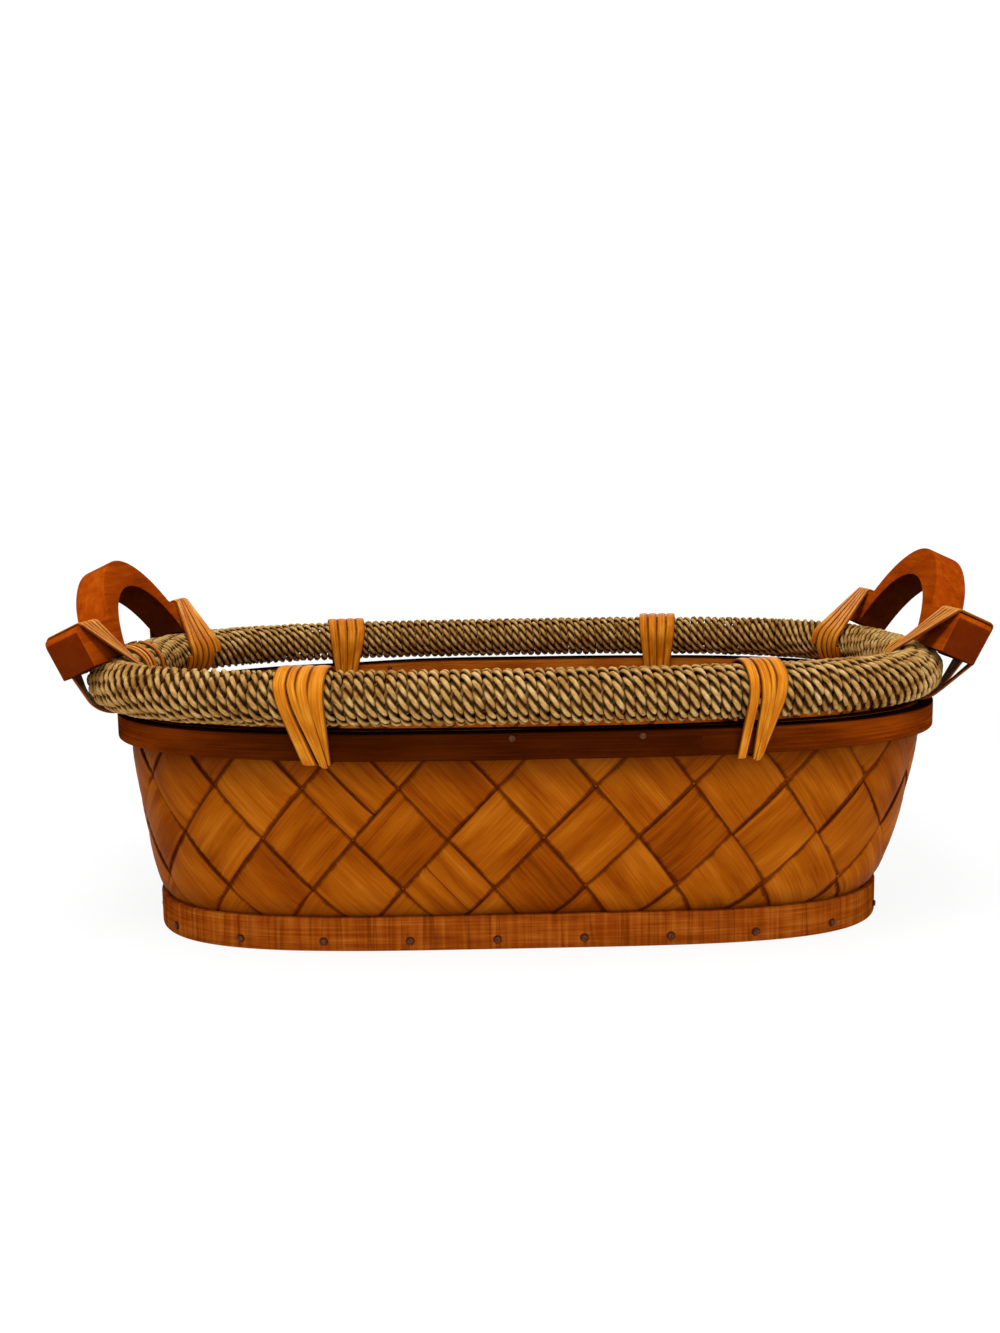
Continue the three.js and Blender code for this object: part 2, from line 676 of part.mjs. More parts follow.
// Least gap between one turn of a strip and the next, from one's edge to the other's
function leastStripGap(name, strip) {
  const edge = (from, to) => strip.sections.map((section) => section[from].clone().lerp(section[to], 1 / 2));
  const left = edge(0, 3);
  const right = edge(1, 2);
  const nearest = new THREE.Vector3();
  let least = Infinity;
  right.forEach((point, i) => {
    for (let j = i + Math.ceil(strip.steps / 2); j < left.length - 1; j++) {
      new THREE.Line3(left[j], left[j + 1]).closestPointToPoint(point, true, nearest);
      least = Math.min(least, point.distanceTo(nearest));
    }
  });
  console.log(`${name}: least gap between turns ${least.toFixed(2)} mm`);
}

const circle = (x, y, radius) => ({ centre: new THREE.Vector2(x, y), across: radius, upright: radius });

// Tie round the rim and both bands, through the weave below them
function tieFrame(x, side) {
  return ovalFrame(rimOval, angleAtX(rimOval, x, side), RIM_HEIGHT);
}

function rimTie(name, x, side) {
  const frame = tieFrame(x, side);
  const drop = BAND_BOTTOM - RIM_HEIGHT;
  const bandOut = BODY_TOP_SHIFT * frame.out.x;
  const bandCorners = [OUTER_BAND_REACH, INNER_BAND_BACK].map((reach) =>
    circle(bandOut + reach, drop, TIE_SLACK));
  const shapes = [circle(0, 0, RIM_RADIUS), ...bandCorners];
  const toSpace = (along, flat) => frame.origin.clone()
    .addScaledVector(frame.along, along)
    .addScaledVector(frame.out, flat.x)
    .addScaledVector(frame.up, flat.y);
  const strip = woundStrip(TIE_TURNS, TIE_STEPS, [], -TIE_TURNS * STRIP_PITCH / 2, () => shapes, toSpace);
  leastStripGap(name, strip);
  return strip.geometry;
}

// Slot in the weave that a tie passes through
function tieSlot(x, side) {
  const frame = tieFrame(x, side);
  const width = TIE_TURNS * STRIP_PITCH + STRIP_WIDTH + 2 * SEAT_GAP;
  const height = STRIP_THICKNESS + 2 * TIE_SLOT_CLEARANCE;
  const depth = WALL_THICKNESS + 2 * CUT_OVERRUN;
  const slot = new THREE.BoxGeometry(width, height, depth);
  slot.translate(0, BAND_BOTTOM - RIM_HEIGHT - STRIP_CLEAR, (WALL_TOP_FACE + WALL_TOP_BACK) / 2);
  return slot.applyMatrix4(frameMatrix(frame));
}

// Handles

// Side view of a handle: feet along the bottom, an arch between them and a round opening under it.
// The arch lies a little towards the back, which is ahead for the right handle and behind for the left
function handleShape(side) {
  const end = side > 0 ? 'right' : 'left';
  const middle = side * HANDLE_ARCH_SHIFT[end];
  const ahead = side > 0 ? HANDLE_BACK_LENGTH[end] : HANDLE_FRONT_LENGTH[end];
  const behind = side > 0 ? HANDLE_FRONT_LENGTH[end] : HANDLE_BACK_LENGTH[end];
  const archCentre = HANDLE_HEIGHT - HANDLE_ARCH_RADIUS;
  const filletHeight = HANDLE_FOOT_HEIGHT + HANDLE_FILLET_RADIUS;
  const filletReach = HANDLE_ARCH_RADIUS + HANDLE_FILLET_RADIUS;
  const filletX = Math.sqrt(filletReach ** 2 - (filletHeight - archCentre) ** 2);
  const lean = Math.atan2(filletHeight - archCentre, filletX);
  const corner = HANDLE_CORNER_RADIUS;
  const cornerHeight = HANDLE_FOOT_HEIGHT - corner;
  const openingHeight = HANDLE_HEIGHT - HANDLE_GRIP_THICKNESS;
  const half = HANDLE_OPENING_HALF_LENGTH;
  const openingRadius = (half ** 2 + openingHeight ** 2) / (2 * openingHeight);
  const openingCentre = openingHeight - openingRadius;
  const openingLean = Math.atan2(-openingCentre, half);
  const shape = new THREE.Shape();
  shape.moveTo(middle - half, 0);
  shape.absarc(middle, openingCentre, openingRadius, Math.PI - openingLean, openingLean, true);
  shape.lineTo(ahead, 0);
  shape.lineTo(ahead, cornerHeight);
  shape.absarc(ahead - corner, cornerHeight, corner, 0, Math.PI / 2, false);
  shape.absarc(middle + filletX, filletHeight, HANDLE_FILLET_RADIUS, -Math.PI / 2, -Math.PI + lean, true);
  shape.absarc(middle, archCentre, HANDLE_ARCH_RADIUS, lean, Math.PI - lean, false);
  shape.absarc(middle - filletX, filletHeight, HANDLE_FILLET_RADIUS, -lean, -Math.PI / 2, true);
  shape.absarc(corner - behind, cornerHeight, corner, Math.PI / 2, Math.PI, false);
  shape.lineTo(-behind, 0);
  return { shape, middle, filletX };
}

// Groups that stand a handle at its end of the rim; the inner one leans it outwards
function handlePlace(side) {
  const twist = side > 0 ? HANDLE_TWIST_DEGREES.right : HANDLE_TWIST_DEGREES.left;
  const upright = new THREE.Group();
  upright.position.set(side * HANDLE_REACH + HANDLE_SHIFT, 0, RIM_TOP_HEIGHT - HANDLE_SINK);
  upright.rotation.z = (side > 0 ? 0 : Math.PI) + THREE.MathUtils.degToRad(twist);
  const leaning = new THREE.Group();
  leaning.rotation.y = THREE.MathUtils.degToRad(HANDLE_LEAN_DEGREES);
  upright.add(leaning);
  upright.updateMatrixWorld(true);
  return { side, upright, leaning };
}

// Seat for the rim in the feet: the outline of the wound rim at the handle's end, with its gap
function rimSeat(place) {
  const radius = (RIM_RADIUS + SEAT_GAP) / Math.cos(Math.PI / SEAT_SIDES);
  const middle = rimPath.distanceAt(place.side > 0 ? 0 : Math.PI);
  const reach = Math.max(...Object.values(HANDLE_BACK_LENGTH)) + 2 * RIM_RADIUS;
  const sections = Array.from({ length: SEAT_STATIONS + 1 }, (_, i) => {
    const distance = middle + reach * (2 * i / SEAT_STATIONS - 1);
    return rimCircle(distance, radius, SEAT_SIDES);
  });
  return barGeometry(sections).applyMatrix4(place.leaning.matrixWorld.clone().invert());
}

function handleGeometry(place) {
  const options = {
    depth: HANDLE_THICKNESS - 2 * HANDLE_EDGE,
    curveSegments: ARCH_SEGMENTS,
    bevelThickness: HANDLE_EDGE,
    bevelSize: HANDLE_EDGE,
    bevelOffset: -HANDLE_EDGE,
    bevelSegments: 1,
  };
  const plank = new THREE.ExtrudeGeometry(handleShape(place.side).shape, options);
  plank.translate(0, 0, HANDLE_EDGE);
  const footwise = new THREE.Vector3(0, 1, 0);
  const upwards = new THREE.Vector3(0, 0, 1);
  const outwards = new THREE.Vector3(1, 0, 0);
  plank.applyMatrix4(new THREE.Matrix4().makeBasis(footwise, upwards, outwards));
  return cutAway(plank, [rimSeat(place)]);
}

// Section of the rim where a lashing that crosses a foot at one place goes round it, in the handle's
// upright frame: nearer the arch than on the foot, and slanted to run more squarely round the rim
function rimSectionAt(place, end, footwise, shift) {
  const toHandle = place.upright.matrixWorld.clone().invert();
  const turn = place.side > 0 ? 0 : Math.PI;
  let near = turn;
  let far = turn + end * Math.PI / 2;
  const frameAt = (angle) => ovalFrame(rimOval, angle, RIM_HEIGHT);
  for (let i = 0; i < BISECTIONS; i++) {
    const angle = (near + far) / 2;
    const reach = frameAt(angle).origin.applyMatrix4(toHandle).y;
    if (end * reach < footwise - shift) near = angle;
    else far = angle;
  }
  const frame = frameAt(near);
  const centre = frame.origin.applyMatrix4(toHandle);
  const along = frame.along.transformDirection(toHandle);
  return {
    centre: new THREE.Vector2(centre.x, centre.z),
    across: (RIM_RADIUS + LASHING_BEND_CLEARANCE) / Math.abs(along.y - end * LASHING_SLANT * along.x),
    upright: RIM_RADIUS,
    shift: -shift,
    slant: LASHING_SLANT,
  };
}

// Lashing round a handle's foot and the rim, beside the arch
function lashingGeometry(name, place, end) {
  const lean = THREE.MathUtils.degToRad(HANDLE_LEAN_DEGREES);
  const upAxis = new THREE.Vector2(Math.sin(lean), Math.cos(lean));
  const outAxis = new THREE.Vector2(Math.cos(lean), -Math.sin(lean));
  const footCorner = (out, up) => {
    const corner = new THREE.Vector2().addScaledVector(outAxis, out).addScaledVector(upAxis, up);
    return { ...circle(corner.x, corner.y, LASHING_BEND), shift: 0, slant: 0 };
  };
  const [nearSide, farSide] = [LASHING_BEND, HANDLE_THICKNESS - LASHING_BEND];
  const [underside, topSide] = [LASHING_BEND, HANDLE_FOOT_HEIGHT - LASHING_BEND];
  const foot = [
    footCorner(nearSide, underside),
    footCorner(farSide, underside),
    footCorner(farSide, topSide),
    footCorner(nearSide, topSide),
  ];
  const { middle, filletX } = handleShape(place.side);
  const atBack = end * place.side > 0;
  const backShift = place.side < 0 ? LASHING_BACK_SHIFT.left : LASHING_BACK_SHIFT.right;
  const shift = atBack ? backShift : LASHING_FRONT_SHIFT;
  const setback = atBack ? LASHING_SETBACK.back : LASHING_SETBACK.front;
  const start = end * middle + filletX + setback + STRIP_WIDTH / 2;
  const shapesAt = (along) => [rimSectionAt(place, end, along, shift), ...foot];
  const toSpace = (along, flat, shape) => {
    const footwise = along + shape.shift + shape.slant * (flat.x - shape.centre.x);
    return new THREE.Vector3(flat.x, end * footwise, flat.y);
  };
  const cornerAngles = [1, 3, 5, 7].map((eighth) => eighth * Math.PI / 4 - lean);
  const strip = woundStrip(LASHING_TURNS, LASHING_STEPS, cornerAngles, start, shapesAt, toSpace);
  leastStripGap(name, strip);
  return end < 0 ? flipped(strip.geometry) : strip.geometry;
}

// The same mesh with its faces turned the other way
function flipped(geometry) {
  const index = Array.from(geometry.index.array);
  for (let i = 0; i < index.length; i += 3) {
    [index[i], index[i + 1]] = [index[i + 1], index[i]];
  }
  return geometry.setIndex(index);
}

// Assembly

const group = new THREE.Group();

const baseNails = baseNailPlaces();
const topNails = topNailPlaces();
const baseHoles = holesFor(baseNails);
const topHoles = holesFor(topNails);
const ties = [
  { name: 'rim_tie_front_left', x: TIE_X.frontLeft, side: -1 },
  { name: 'rim_tie_front_right', x: TIE_X.frontRight, side: -1 },
  { name: 'rim_tie_back_left', x: TIE_X.backLeft, side: 1 },
  { name: 'rim_tie_back_right', x: TIE_X.backRight, side: 1 },
];
const slots = ties.map((tie) => tieSlot(tie.x, tie.side));

group.add(part('base_board', 'board', baseBoard(baseHoles)));
group.add(part('base_band', 'band', baseBand(baseHoles)));
group.add(part('woven_wall', 'chip', wovenWall([...baseHoles, ...topHoles, ...slots])));
group.add(part('outer_top_band', 'band', outerTopBand(topHoles)));
group.add(part('inner_top_band', 'band', innerTopBand(topHoles)));
group.add(part('rim_core', 'core', rimCore()));
group.add(part('rim_winding', 'cord', rimWinding()));

for (const tie of ties) {
  group.add(part(tie.name, 'rattan', rimTie(tie.name, tie.x, tie.side)));
}

for (const nail of [...baseNails, ...topNails]) {
  const mesh = part(nail.name, 'nail', nailGeometry(nail.length));
  mesh.applyMatrix4(nail.matrix);
  group.add(mesh);
}

for (const [end, side] of [['left', -1], ['right', 1]]) {
  const place = handlePlace(side);
  place.leaning.add(part(`handle_${end}`, 'handle', handleGeometry(place)));
  for (const [depth, away] of [['front', -1], ['back', 1]]) {
    const name = `lashing_${end}_${depth}`;
    place.upright.add(part(name, 'rattan', lashingGeometry(name, place, side * away)));
  }
  group.add(place.upright);
}

console.log(`rim_winding: opening between its ends ${WINDING_OPENING.toFixed(2)} mm`);

export default group;
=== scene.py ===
from functools import partialmethod

import bpy
import numpy as np
from mathutils import Matrix, Vector


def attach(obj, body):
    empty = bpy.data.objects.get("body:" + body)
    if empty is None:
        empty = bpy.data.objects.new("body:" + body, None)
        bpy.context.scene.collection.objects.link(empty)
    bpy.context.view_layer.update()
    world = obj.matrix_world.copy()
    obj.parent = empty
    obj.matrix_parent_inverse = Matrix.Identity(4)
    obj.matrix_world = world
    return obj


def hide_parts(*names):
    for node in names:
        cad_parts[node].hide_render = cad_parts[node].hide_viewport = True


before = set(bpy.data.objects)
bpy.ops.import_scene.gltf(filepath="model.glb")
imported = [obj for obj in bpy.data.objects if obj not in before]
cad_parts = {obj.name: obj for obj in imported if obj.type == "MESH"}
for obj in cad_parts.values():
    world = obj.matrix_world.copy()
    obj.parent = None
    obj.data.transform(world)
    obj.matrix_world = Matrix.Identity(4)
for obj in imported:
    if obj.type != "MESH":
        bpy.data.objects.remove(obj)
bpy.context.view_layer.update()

MM = 0.001
TURN = 2 * np.pi
UV_LENGTH = 100
UV_MARGIN = 0.02
WAVES = 5
WHITE = (1, 1, 1, 1)

# Ovals: half length, half width, power and shift along X; the body's top leans a little to the right
RIM_OVAL = (187.7, 122.0, 3.0, 0.0)
TOP_OVAL = (187.7, 122.0, 3.0, 4.4)
BASE_OVAL = (168.4, 102.5, 4.0, 0.0)
PATH_SAMPLES = 2880
RIM_HEIGHT = 111.0
RIM_RADIUS = 11.5
RIM_TOP = RIM_HEIGHT + RIM_RADIUS

# Bands: heights, and offsets of face and back from their oval
BASE_BAND = {"bottom": 0.0, "top": 14.7, "face": 0.0, "back": -2.8}
OUTER_BAND = {"bottom": 86.0, "top": 97.5, "face": 3.2, "back": -2.3}
INNER_BAND = {"bottom": 86.0, "top": 97.5, "face": -4.9, "back": -8.9}
LAP_LENGTH = 22.0
LAP_TIP_SHARE = 0.04
BAND_STEPS = 300
BAND_ROUNDING = 0.7
BAND_UNEVEN = 0.15
TOP_BAND_RISE = {"height": 1.2, "x": (-95.0, 50.0), "y": (40.0, 50.0)}

# Weave: cells of the plaiting, half a strip apart each way
HALF_COLUMNS = 52
STRIPS = 26
STRIP_WIDE = 30.0
STRIP_GRID = (66, 8)
STRIP_FILL = (0.962, 0.985)
STRIP_WOBBLE = 0.007
STRIP_DRIFT = 0.003
STRIP_STEP = 0.12
WEAVE_SHIFT = -14.3
WEAVE_FIRST_ROW = 3.9
WEAVE_ROW = 22.55
WALL_FOOT = 0.6
WALL_TOP = 97.0
FLARE_START = 15.0
FLARE_END = 85.7
FLARE_POWER = 0.65
WALL_MIDDLE_BASE = -4.1
WALL_MIDDLE_TOP = -3.6
CHIP_THICKNESS = 0.75
CHIP_ROUNDING = 0.12
CHIP_LIFT = 1.1
CHIP_LIFT_HELD = 0.62
CHIP_CROWN = 0.45

# Where a change in the weave starts, and the stretch that it takes: along the height, the rim and the rows
FREE_ABOVE = (12.5, 9.0)
FREE_BELOW = (FLARE_END + 1, -6.0)
ROW_RISE, ROW_DIP = 1.5, 5.5
DIP_STARTS = (60.0, 150.0)
DIP_ENDS = (330.0, 190.0)
SPLIT_STRIP, SPLIT_AT = 0, -0.01
CRACK_WIDE = 0.02
CRACK_OPENS = (2.45, 0.3)
CRACK_CLOSES = (3.45, 0.2)

# Cord of the rim: turns, the two plies twisted in it, and how uneven they are
CORD_TURNS = 253
CORD_RADIUS = 2.1
CORD_SINK = 0.15
CORD_STEPS = 44
CORD_UNEVEN = {"along": 0.16, "hoop": 0.18, "twist": 0.5, "ply": 0.07}
PLY_OFFSET = 1.02
PLY_RADIUS = 1.16
PLY_BROAD = 1.14
PLY_LAY = 10.6
PLY_SIDES = 6

# Rattan: the strip, and how far its wrappings stay clear of the wound rim
STRIP_THICKNESS = 1.1
STRIP_CLEARANCE = 0.3
STRIP_SEAT = STRIP_CLEARANCE + STRIP_THICKNESS / 2
STRIP_PITCH = 4.6
STRIP_CROWN = 0.37
TIE_CLEARANCE = 0.3
TIE_BAND_CLEARANCE = 0.2
TIE_STEPS = 96
TIE_LAYER = 0.55
TIE_X = {"front_left": -85.5, "front_right": 94.5, "back_left": -97.0, "back_right": 89.6}
LASHING_TURNS = 5
LASHING_STEPS = 72
LASHING_WIDTHS = (3.6, 4.3)
LASHING_MARGIN = 1.9
LASHING_SLANT = 0.5
QUARTER_SHARE = 0.98
HALVINGS = 34
LASHING_BESIDE = 0.9
LASHING_BELOW = 0.4
RING_STEPS = 48
RING_CLEARANCE = 0.45

# Handles
HANDLE = {
    "thickness": 15.0, "height": 46.0, "foot": 18.4, "arch": 62.0, "grip": 14.4,
    "opening": 52.0, "fillet": 8.0, "corner": 4.0, "edge": 1.7, "lean": 25.3, "reach": 182.0,
    "shift": 4.5, "sink": 0.4, "round_outside": 6.4, "round_inside": 2.6, "bend": 1.0,
}
HANDLE_MIDDLE = {-1: -7.0, 1: 5.0}
HANDLE_ENDS = {-1: (-97.0, 90.0), 1: (-88.0, 94.0)}
HANDLE_TURN = {-1: 180.0, 1: -4.5}
ARC_STEPS = {"arch": 56, "fillet": 10, "corner": 8}
ROUNDING_FADES = (0.86, -0.4)
EDGE_SLACK = 1.01
SEAT_CLEARANCE = 0.3
SEAT_GRID = (360, 32)

# Nails
NAIL_HEAD = {"radius": 1.35, "depth": 0.8, "rounding": 0.32}
NAIL_SHANK = {"tip": 0.2, "root": 0.6, "length": 8}
NAIL_PROUD = 0.2
BASE_NAILS = 26
BASE_NAIL_SHIFT = -11.0
BASE_NAIL_HEIGHT = 4.4
TOP_NAIL_DROP = 2.6
TOP_NAILS = {
    "outer_band_nail_front_1": (-4.3, -1), "outer_band_nail_back_1": (4.3, 1),
    "outer_band_nail_front_2": (47.2, -1), "outer_band_nail_back_2": (-47.2, 1),
    "inner_band_nail_back": (-72.0, 1), "inner_band_nail_front": (72.0, -1),
}


# Curves that the pieces follow

def oval_points(oval, angle, offset=0.0):
    """Points of an oval at polar angles, moved out by an offset, and the way out there."""
    length, width, power, shift = oval
    cos, sin = np.cos(angle), np.sin(angle)
    radius = (np.abs(cos / length) ** power + np.abs(sin / width) ** power) ** (-1 / power)
    x, y = radius * cos, radius * sin
    out_x = np.sign(x) * np.abs(x / length) ** (power - 1) / length
    out_y = np.sign(y) * np.abs(y / width) ** (power - 1) / width
    size = np.hypot(out_x, out_y)
    out_x, out_y = out_x / size, out_y / size
    return shift + x + offset * out_x, y + offset * out_y, out_x, out_y


class OvalPath:
    """An oval measured along its length, from the middle of its front."""

    def __init__(self, oval):
        self.oval = oval
        self.angles = np.linspace(-np.pi / 2, 1.5 * np.pi, PATH_SAMPLES + 1)
        x, y, _, _ = oval_points(oval, self.angles)
        steps = np.hypot(np.diff(x), np.diff(y))
        self.distances = np.concatenate([[0.0], np.cumsum(steps)])
        self.length = self.distances[-1]

    def at(self, distance, offset=0.0):
        rest = np.mod(distance, self.length)
        return oval_points(self.oval, np.interp(rest, self.distances, self.angles), offset)

    def distance_at(self, x, side):
        length, width, power, shift = self.oval
        y = side * width * (1 - abs((x - shift) / length) ** power) ** (1 / power)
        angle = np.arctan2(y, x - shift)
        if angle < -np.pi / 2:
            angle += TURN
        return float(np.interp(angle, self.angles, self.distances))


rim_path = OvalPath(RIM_OVAL)
top_path = OvalPath(TOP_OVAL)
base_path = OvalPath(BASE_OVAL)


def frame_at(distance, path=rim_path, height=RIM_HEIGHT, offset=0.0):
    """Origin, way out, way along and way up at a place on the rim or another oval."""
    x, y, out_x, out_y = path.at(distance, offset)
    level = np.zeros_like(x)
    origin = np.stack([x, y, level + height], -1)
    out = np.stack([out_x, out_y, level], -1)
    along = np.stack([-out_y, out_x, level], -1)
    return origin, out, along, np.array([0.0, 0.0, 1.0])


def swung(first, second, angles):
    """A way turned from one way towards another, by each of several angles."""
    return first * np.cos(angles)[:, None] + second * np.sin(angles)[:, None]


def smooth_step(share):
    share = np.clip(share, 0, 1)
    return share * share * (3 - 2 * share)


def eased(value, start, stretch):
    """Smooth change from 0 at a start to 1 a stretch beyond it, or before it for a negative stretch."""
    return smooth_step((value - start) / stretch)


def waves(place, seed):
    """A gentle uneven line from -1 to 1 that repeats the same way each run."""
    rng = np.random.default_rng(seed)
    total = np.zeros_like(place, dtype=float)
    for i in range(1, WAVES + 1):
        total += np.sin(place * rng.uniform(0.5, 1.6) * i + rng.uniform(0, TURN)) / i
    return total / 2


# Handling of pieces

def use(piece):
    bpy.ops.object.select_all(action="DESELECT")
    piece.select_set(True)
    bpy.context.view_layer.objects.active = piece


def new_object(name, data):
    thing = bpy.data.objects.new(name, data)
    bpy.context.scene.collection.objects.link(thing)
    return thing


def added(operator, **settings):
    """The object that an operator adds, with nothing else selected."""
    bpy.ops.object.select_all(action="DESELECT")
    operator(**settings)
    return bpy.context.object


def duplicate(piece):
    copy = piece.copy()
    copy.data = piece.data.copy()
    bpy.context.scene.collection.objects.link(copy)
    return copy


def join(pieces):
    """Joins pieces into the first of them."""
    use(pieces[0])
    for piece in pieces[1:]:
        piece.select_set(True)
    bpy.ops.object.join()
    return pieces[0]


def values_of(items, name, size):
    values = np.empty(len(items) * size)
    items.foreach_get(name, values)
    return values.reshape(-1, size)


def points_of(piece):
    return values_of(piece.data.vertices, "co", 3)


def move_points(piece, points):
    piece.data.vertices.foreach_set("co", points.astype(np.float32).ravel())
    piece.data.update()


def uv_of(piece):
    return values_of(piece.data.uv_layers.active.data, "uv", 2)


def move_uv(piece, values):
    piece.data.uv_layers.active.data.foreach_set("uv", values.astype(np.float32).ravel())


def add_values(mesh, name, values):
    mesh.attributes.new(name, "FLOAT", "POINT").data.foreach_set("value", values.astype(np.float32))


def apply_all(piece):
    use(piece)
    for modifier in list(piece.modifiers):
        bpy.ops.object.modifier_apply(modifier=modifier.name)


def set_all(thing, settings):
    for setting, value in settings.items():
        setattr(thing, setting, value)


def modify(piece, kind, **settings):
    set_all(piece.modifiers.new(kind.lower(), kind), settings)


def solidify(piece, thickness):
    modify(piece, "SOLIDIFY", thickness=thickness, offset=0, use_even_offset=True)


def bevel(piece, width, segments, angle=50):
    limit = np.radians(angle)
    modify(piece, "BEVEL", width=width, segments=segments, limit_method="ANGLE", angle_limit=limit)


def point_outwards(piece):
    use(piece)
    bpy.ops.object.mode_set(mode="EDIT")
    bpy.ops.mesh.select_all(action="SELECT")
    bpy.ops.mesh.normals_make_consistent()
    bpy.ops.object.mode_set(mode="OBJECT")


def smooth(piece, degrees):
    use(piece)
    bpy.ops.object.shade_smooth_by_angle(angle=np.radians(degrees))


def paint(piece, look):
    piece.data.materials.clear()
    piece.data.materials.append(look)


def finish_piece(piece, look, slot, *nodes):
    """Brings a piece from millimetres to metres and hands it to the frame."""
    move_points(piece, points_of(piece) * MM)
    paint(piece, look)
    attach(piece, "root")
    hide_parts(*nodes)


class Tubes:
    """Gathers closed tubes of quads, with their lengths as UV, and makes one piece of them."""

    def __init__(self):
        self.points, self.quads, self.caps, self.uvs, self.cap_uvs, self.shades = [], [], [], [], [], []
        self.count = 0

    def add(self, rings, along, index=0, shade=None):
        rows, sides, _ = rings.shape
        ids = self.count + np.arange(rows * sides).reshape(rows, sides)
        turned = np.roll(ids, -1, axis=1)
        self.quads.append(np.stack([ids[:-1], turned[:-1], turned[1:], ids[1:]], -1).reshape(-1, 4))
        u = along / UV_LENGTH
        v = index + UV_MARGIN + (1 - 2 * UV_MARGIN) * np.arange(sides + 1) / sides
        us = np.stack([u[:-1], u[:-1], u[1:], u[1:]], -1)[:, None]
        vs = np.stack([v[:-1], v[1:], v[1:], v[:-1]], -1)[None]
        self.uvs.append(np.stack(np.broadcast_arrays(us, vs), -1).reshape(-1, 2))
        self.caps += [ids[0][::-1], ids[-1]]
        self.cap_uvs += [np.full((sides, 2), (end, index + 0.5)) for end in (u[0], u[-1])]
        self.points.append(rings.reshape(-1, 3))
        self.shades.append(np.ones(rows * sides) if shade is None else shade.reshape(-1))
        self.count += rows * sides

    def piece(self, name, degrees=50):
        faces = np.concatenate(self.quads).tolist() + [cap.tolist() for cap in self.caps]
        mesh = bpy.data.meshes.new(name)
        mesh.from_pydata(np.concatenate(self.points).tolist(), [], faces)
        mesh.uv_layers.new(name="UVMap")
        add_values(mesh, "shade", np.concatenate(self.shades))
        piece = new_object(name, mesh)
        move_uv(piece, np.concatenate(self.uvs + self.cap_uvs))
        mesh.validate()
        point_outwards(piece)
        smooth(piece, degrees)
        return piece


# Looks

def srgb(red, green, blue):
    """A colour given as it shows on screen, 0 to 255, as the shader's linear one."""
    shares = np.array([red, green, blue]) / 255
    linear = np.where(shares <= 0.04045, shares / 12.92, ((shares + 0.055) / 1.055) ** 2.4)
    return (*linear, 1.0)


class Wire:
    """A value in a node tree; sums on it add Math nodes."""

    def __init__(self, nodes, socket):
        self.nodes = nodes
        self.socket = socket

    def math(self, operation, *others):
        return self.nodes.node("ShaderNodeMath", [self, *others], operation=operation)

    def __rsub__(self, other):
        return self.nodes.node("ShaderNodeMath", [other, self], operation="SUBTRACT")

    __add__ = __radd__ = partialmethod(math, "ADD")
    __mul__ = __rmul__ = partialmethod(math, "MULTIPLY")
    __sub__ = partialmethod(math, "SUBTRACT")
    __pow__ = partialmethod(math, "POWER")
    __abs__ = partialmethod(math, "ABSOLUTE")


class Nodes:
    """A node tree being put together."""

    def __init__(self, tree):
        self.tree = tree

    def feed(self, socket, value):
        if isinstance(value, Wire):
            self.tree.links.new(value.socket, socket)
        else:
            socket.default_value = value

    def node(self, kind, values=(), output=0, stops=None, **settings):
        node = self.tree.nodes.new(kind)
        set_all(node, settings)
        if stops:
            ramp = node.color_ramp.elements
            while len(ramp) < len(stops):
                ramp.new(0.5)
            for element, (place, colour) in zip(ramp, stops):
                element.position = place
                element.color = colour
        for key, value in values.items() if isinstance(values, dict) else enumerate(values):
            self.feed(node.inputs[key], value)
        return Wire(self, node.outputs[output])

    def looked_at(self):
        """1 for what the camera sees, itself or in a reflection, and 0 for what only sheds light."""
        path = self.tree.nodes.new("ShaderNodeLightPath")
        seen, mirrored = (Wire(self, path.outputs[f"Is {ray} Ray"]) for ray in ("Camera", "Glossy"))
        return seen.math("MAXIMUM", mirrored)

    def end_in_mix(self, output, share, first, second):
        """Ends the tree in a mix of two shaders."""
        mixed = self.node("ShaderNodeMixShader", [share, first, second])
        self.feed(self.tree.nodes[output].inputs["Surface"], mixed)


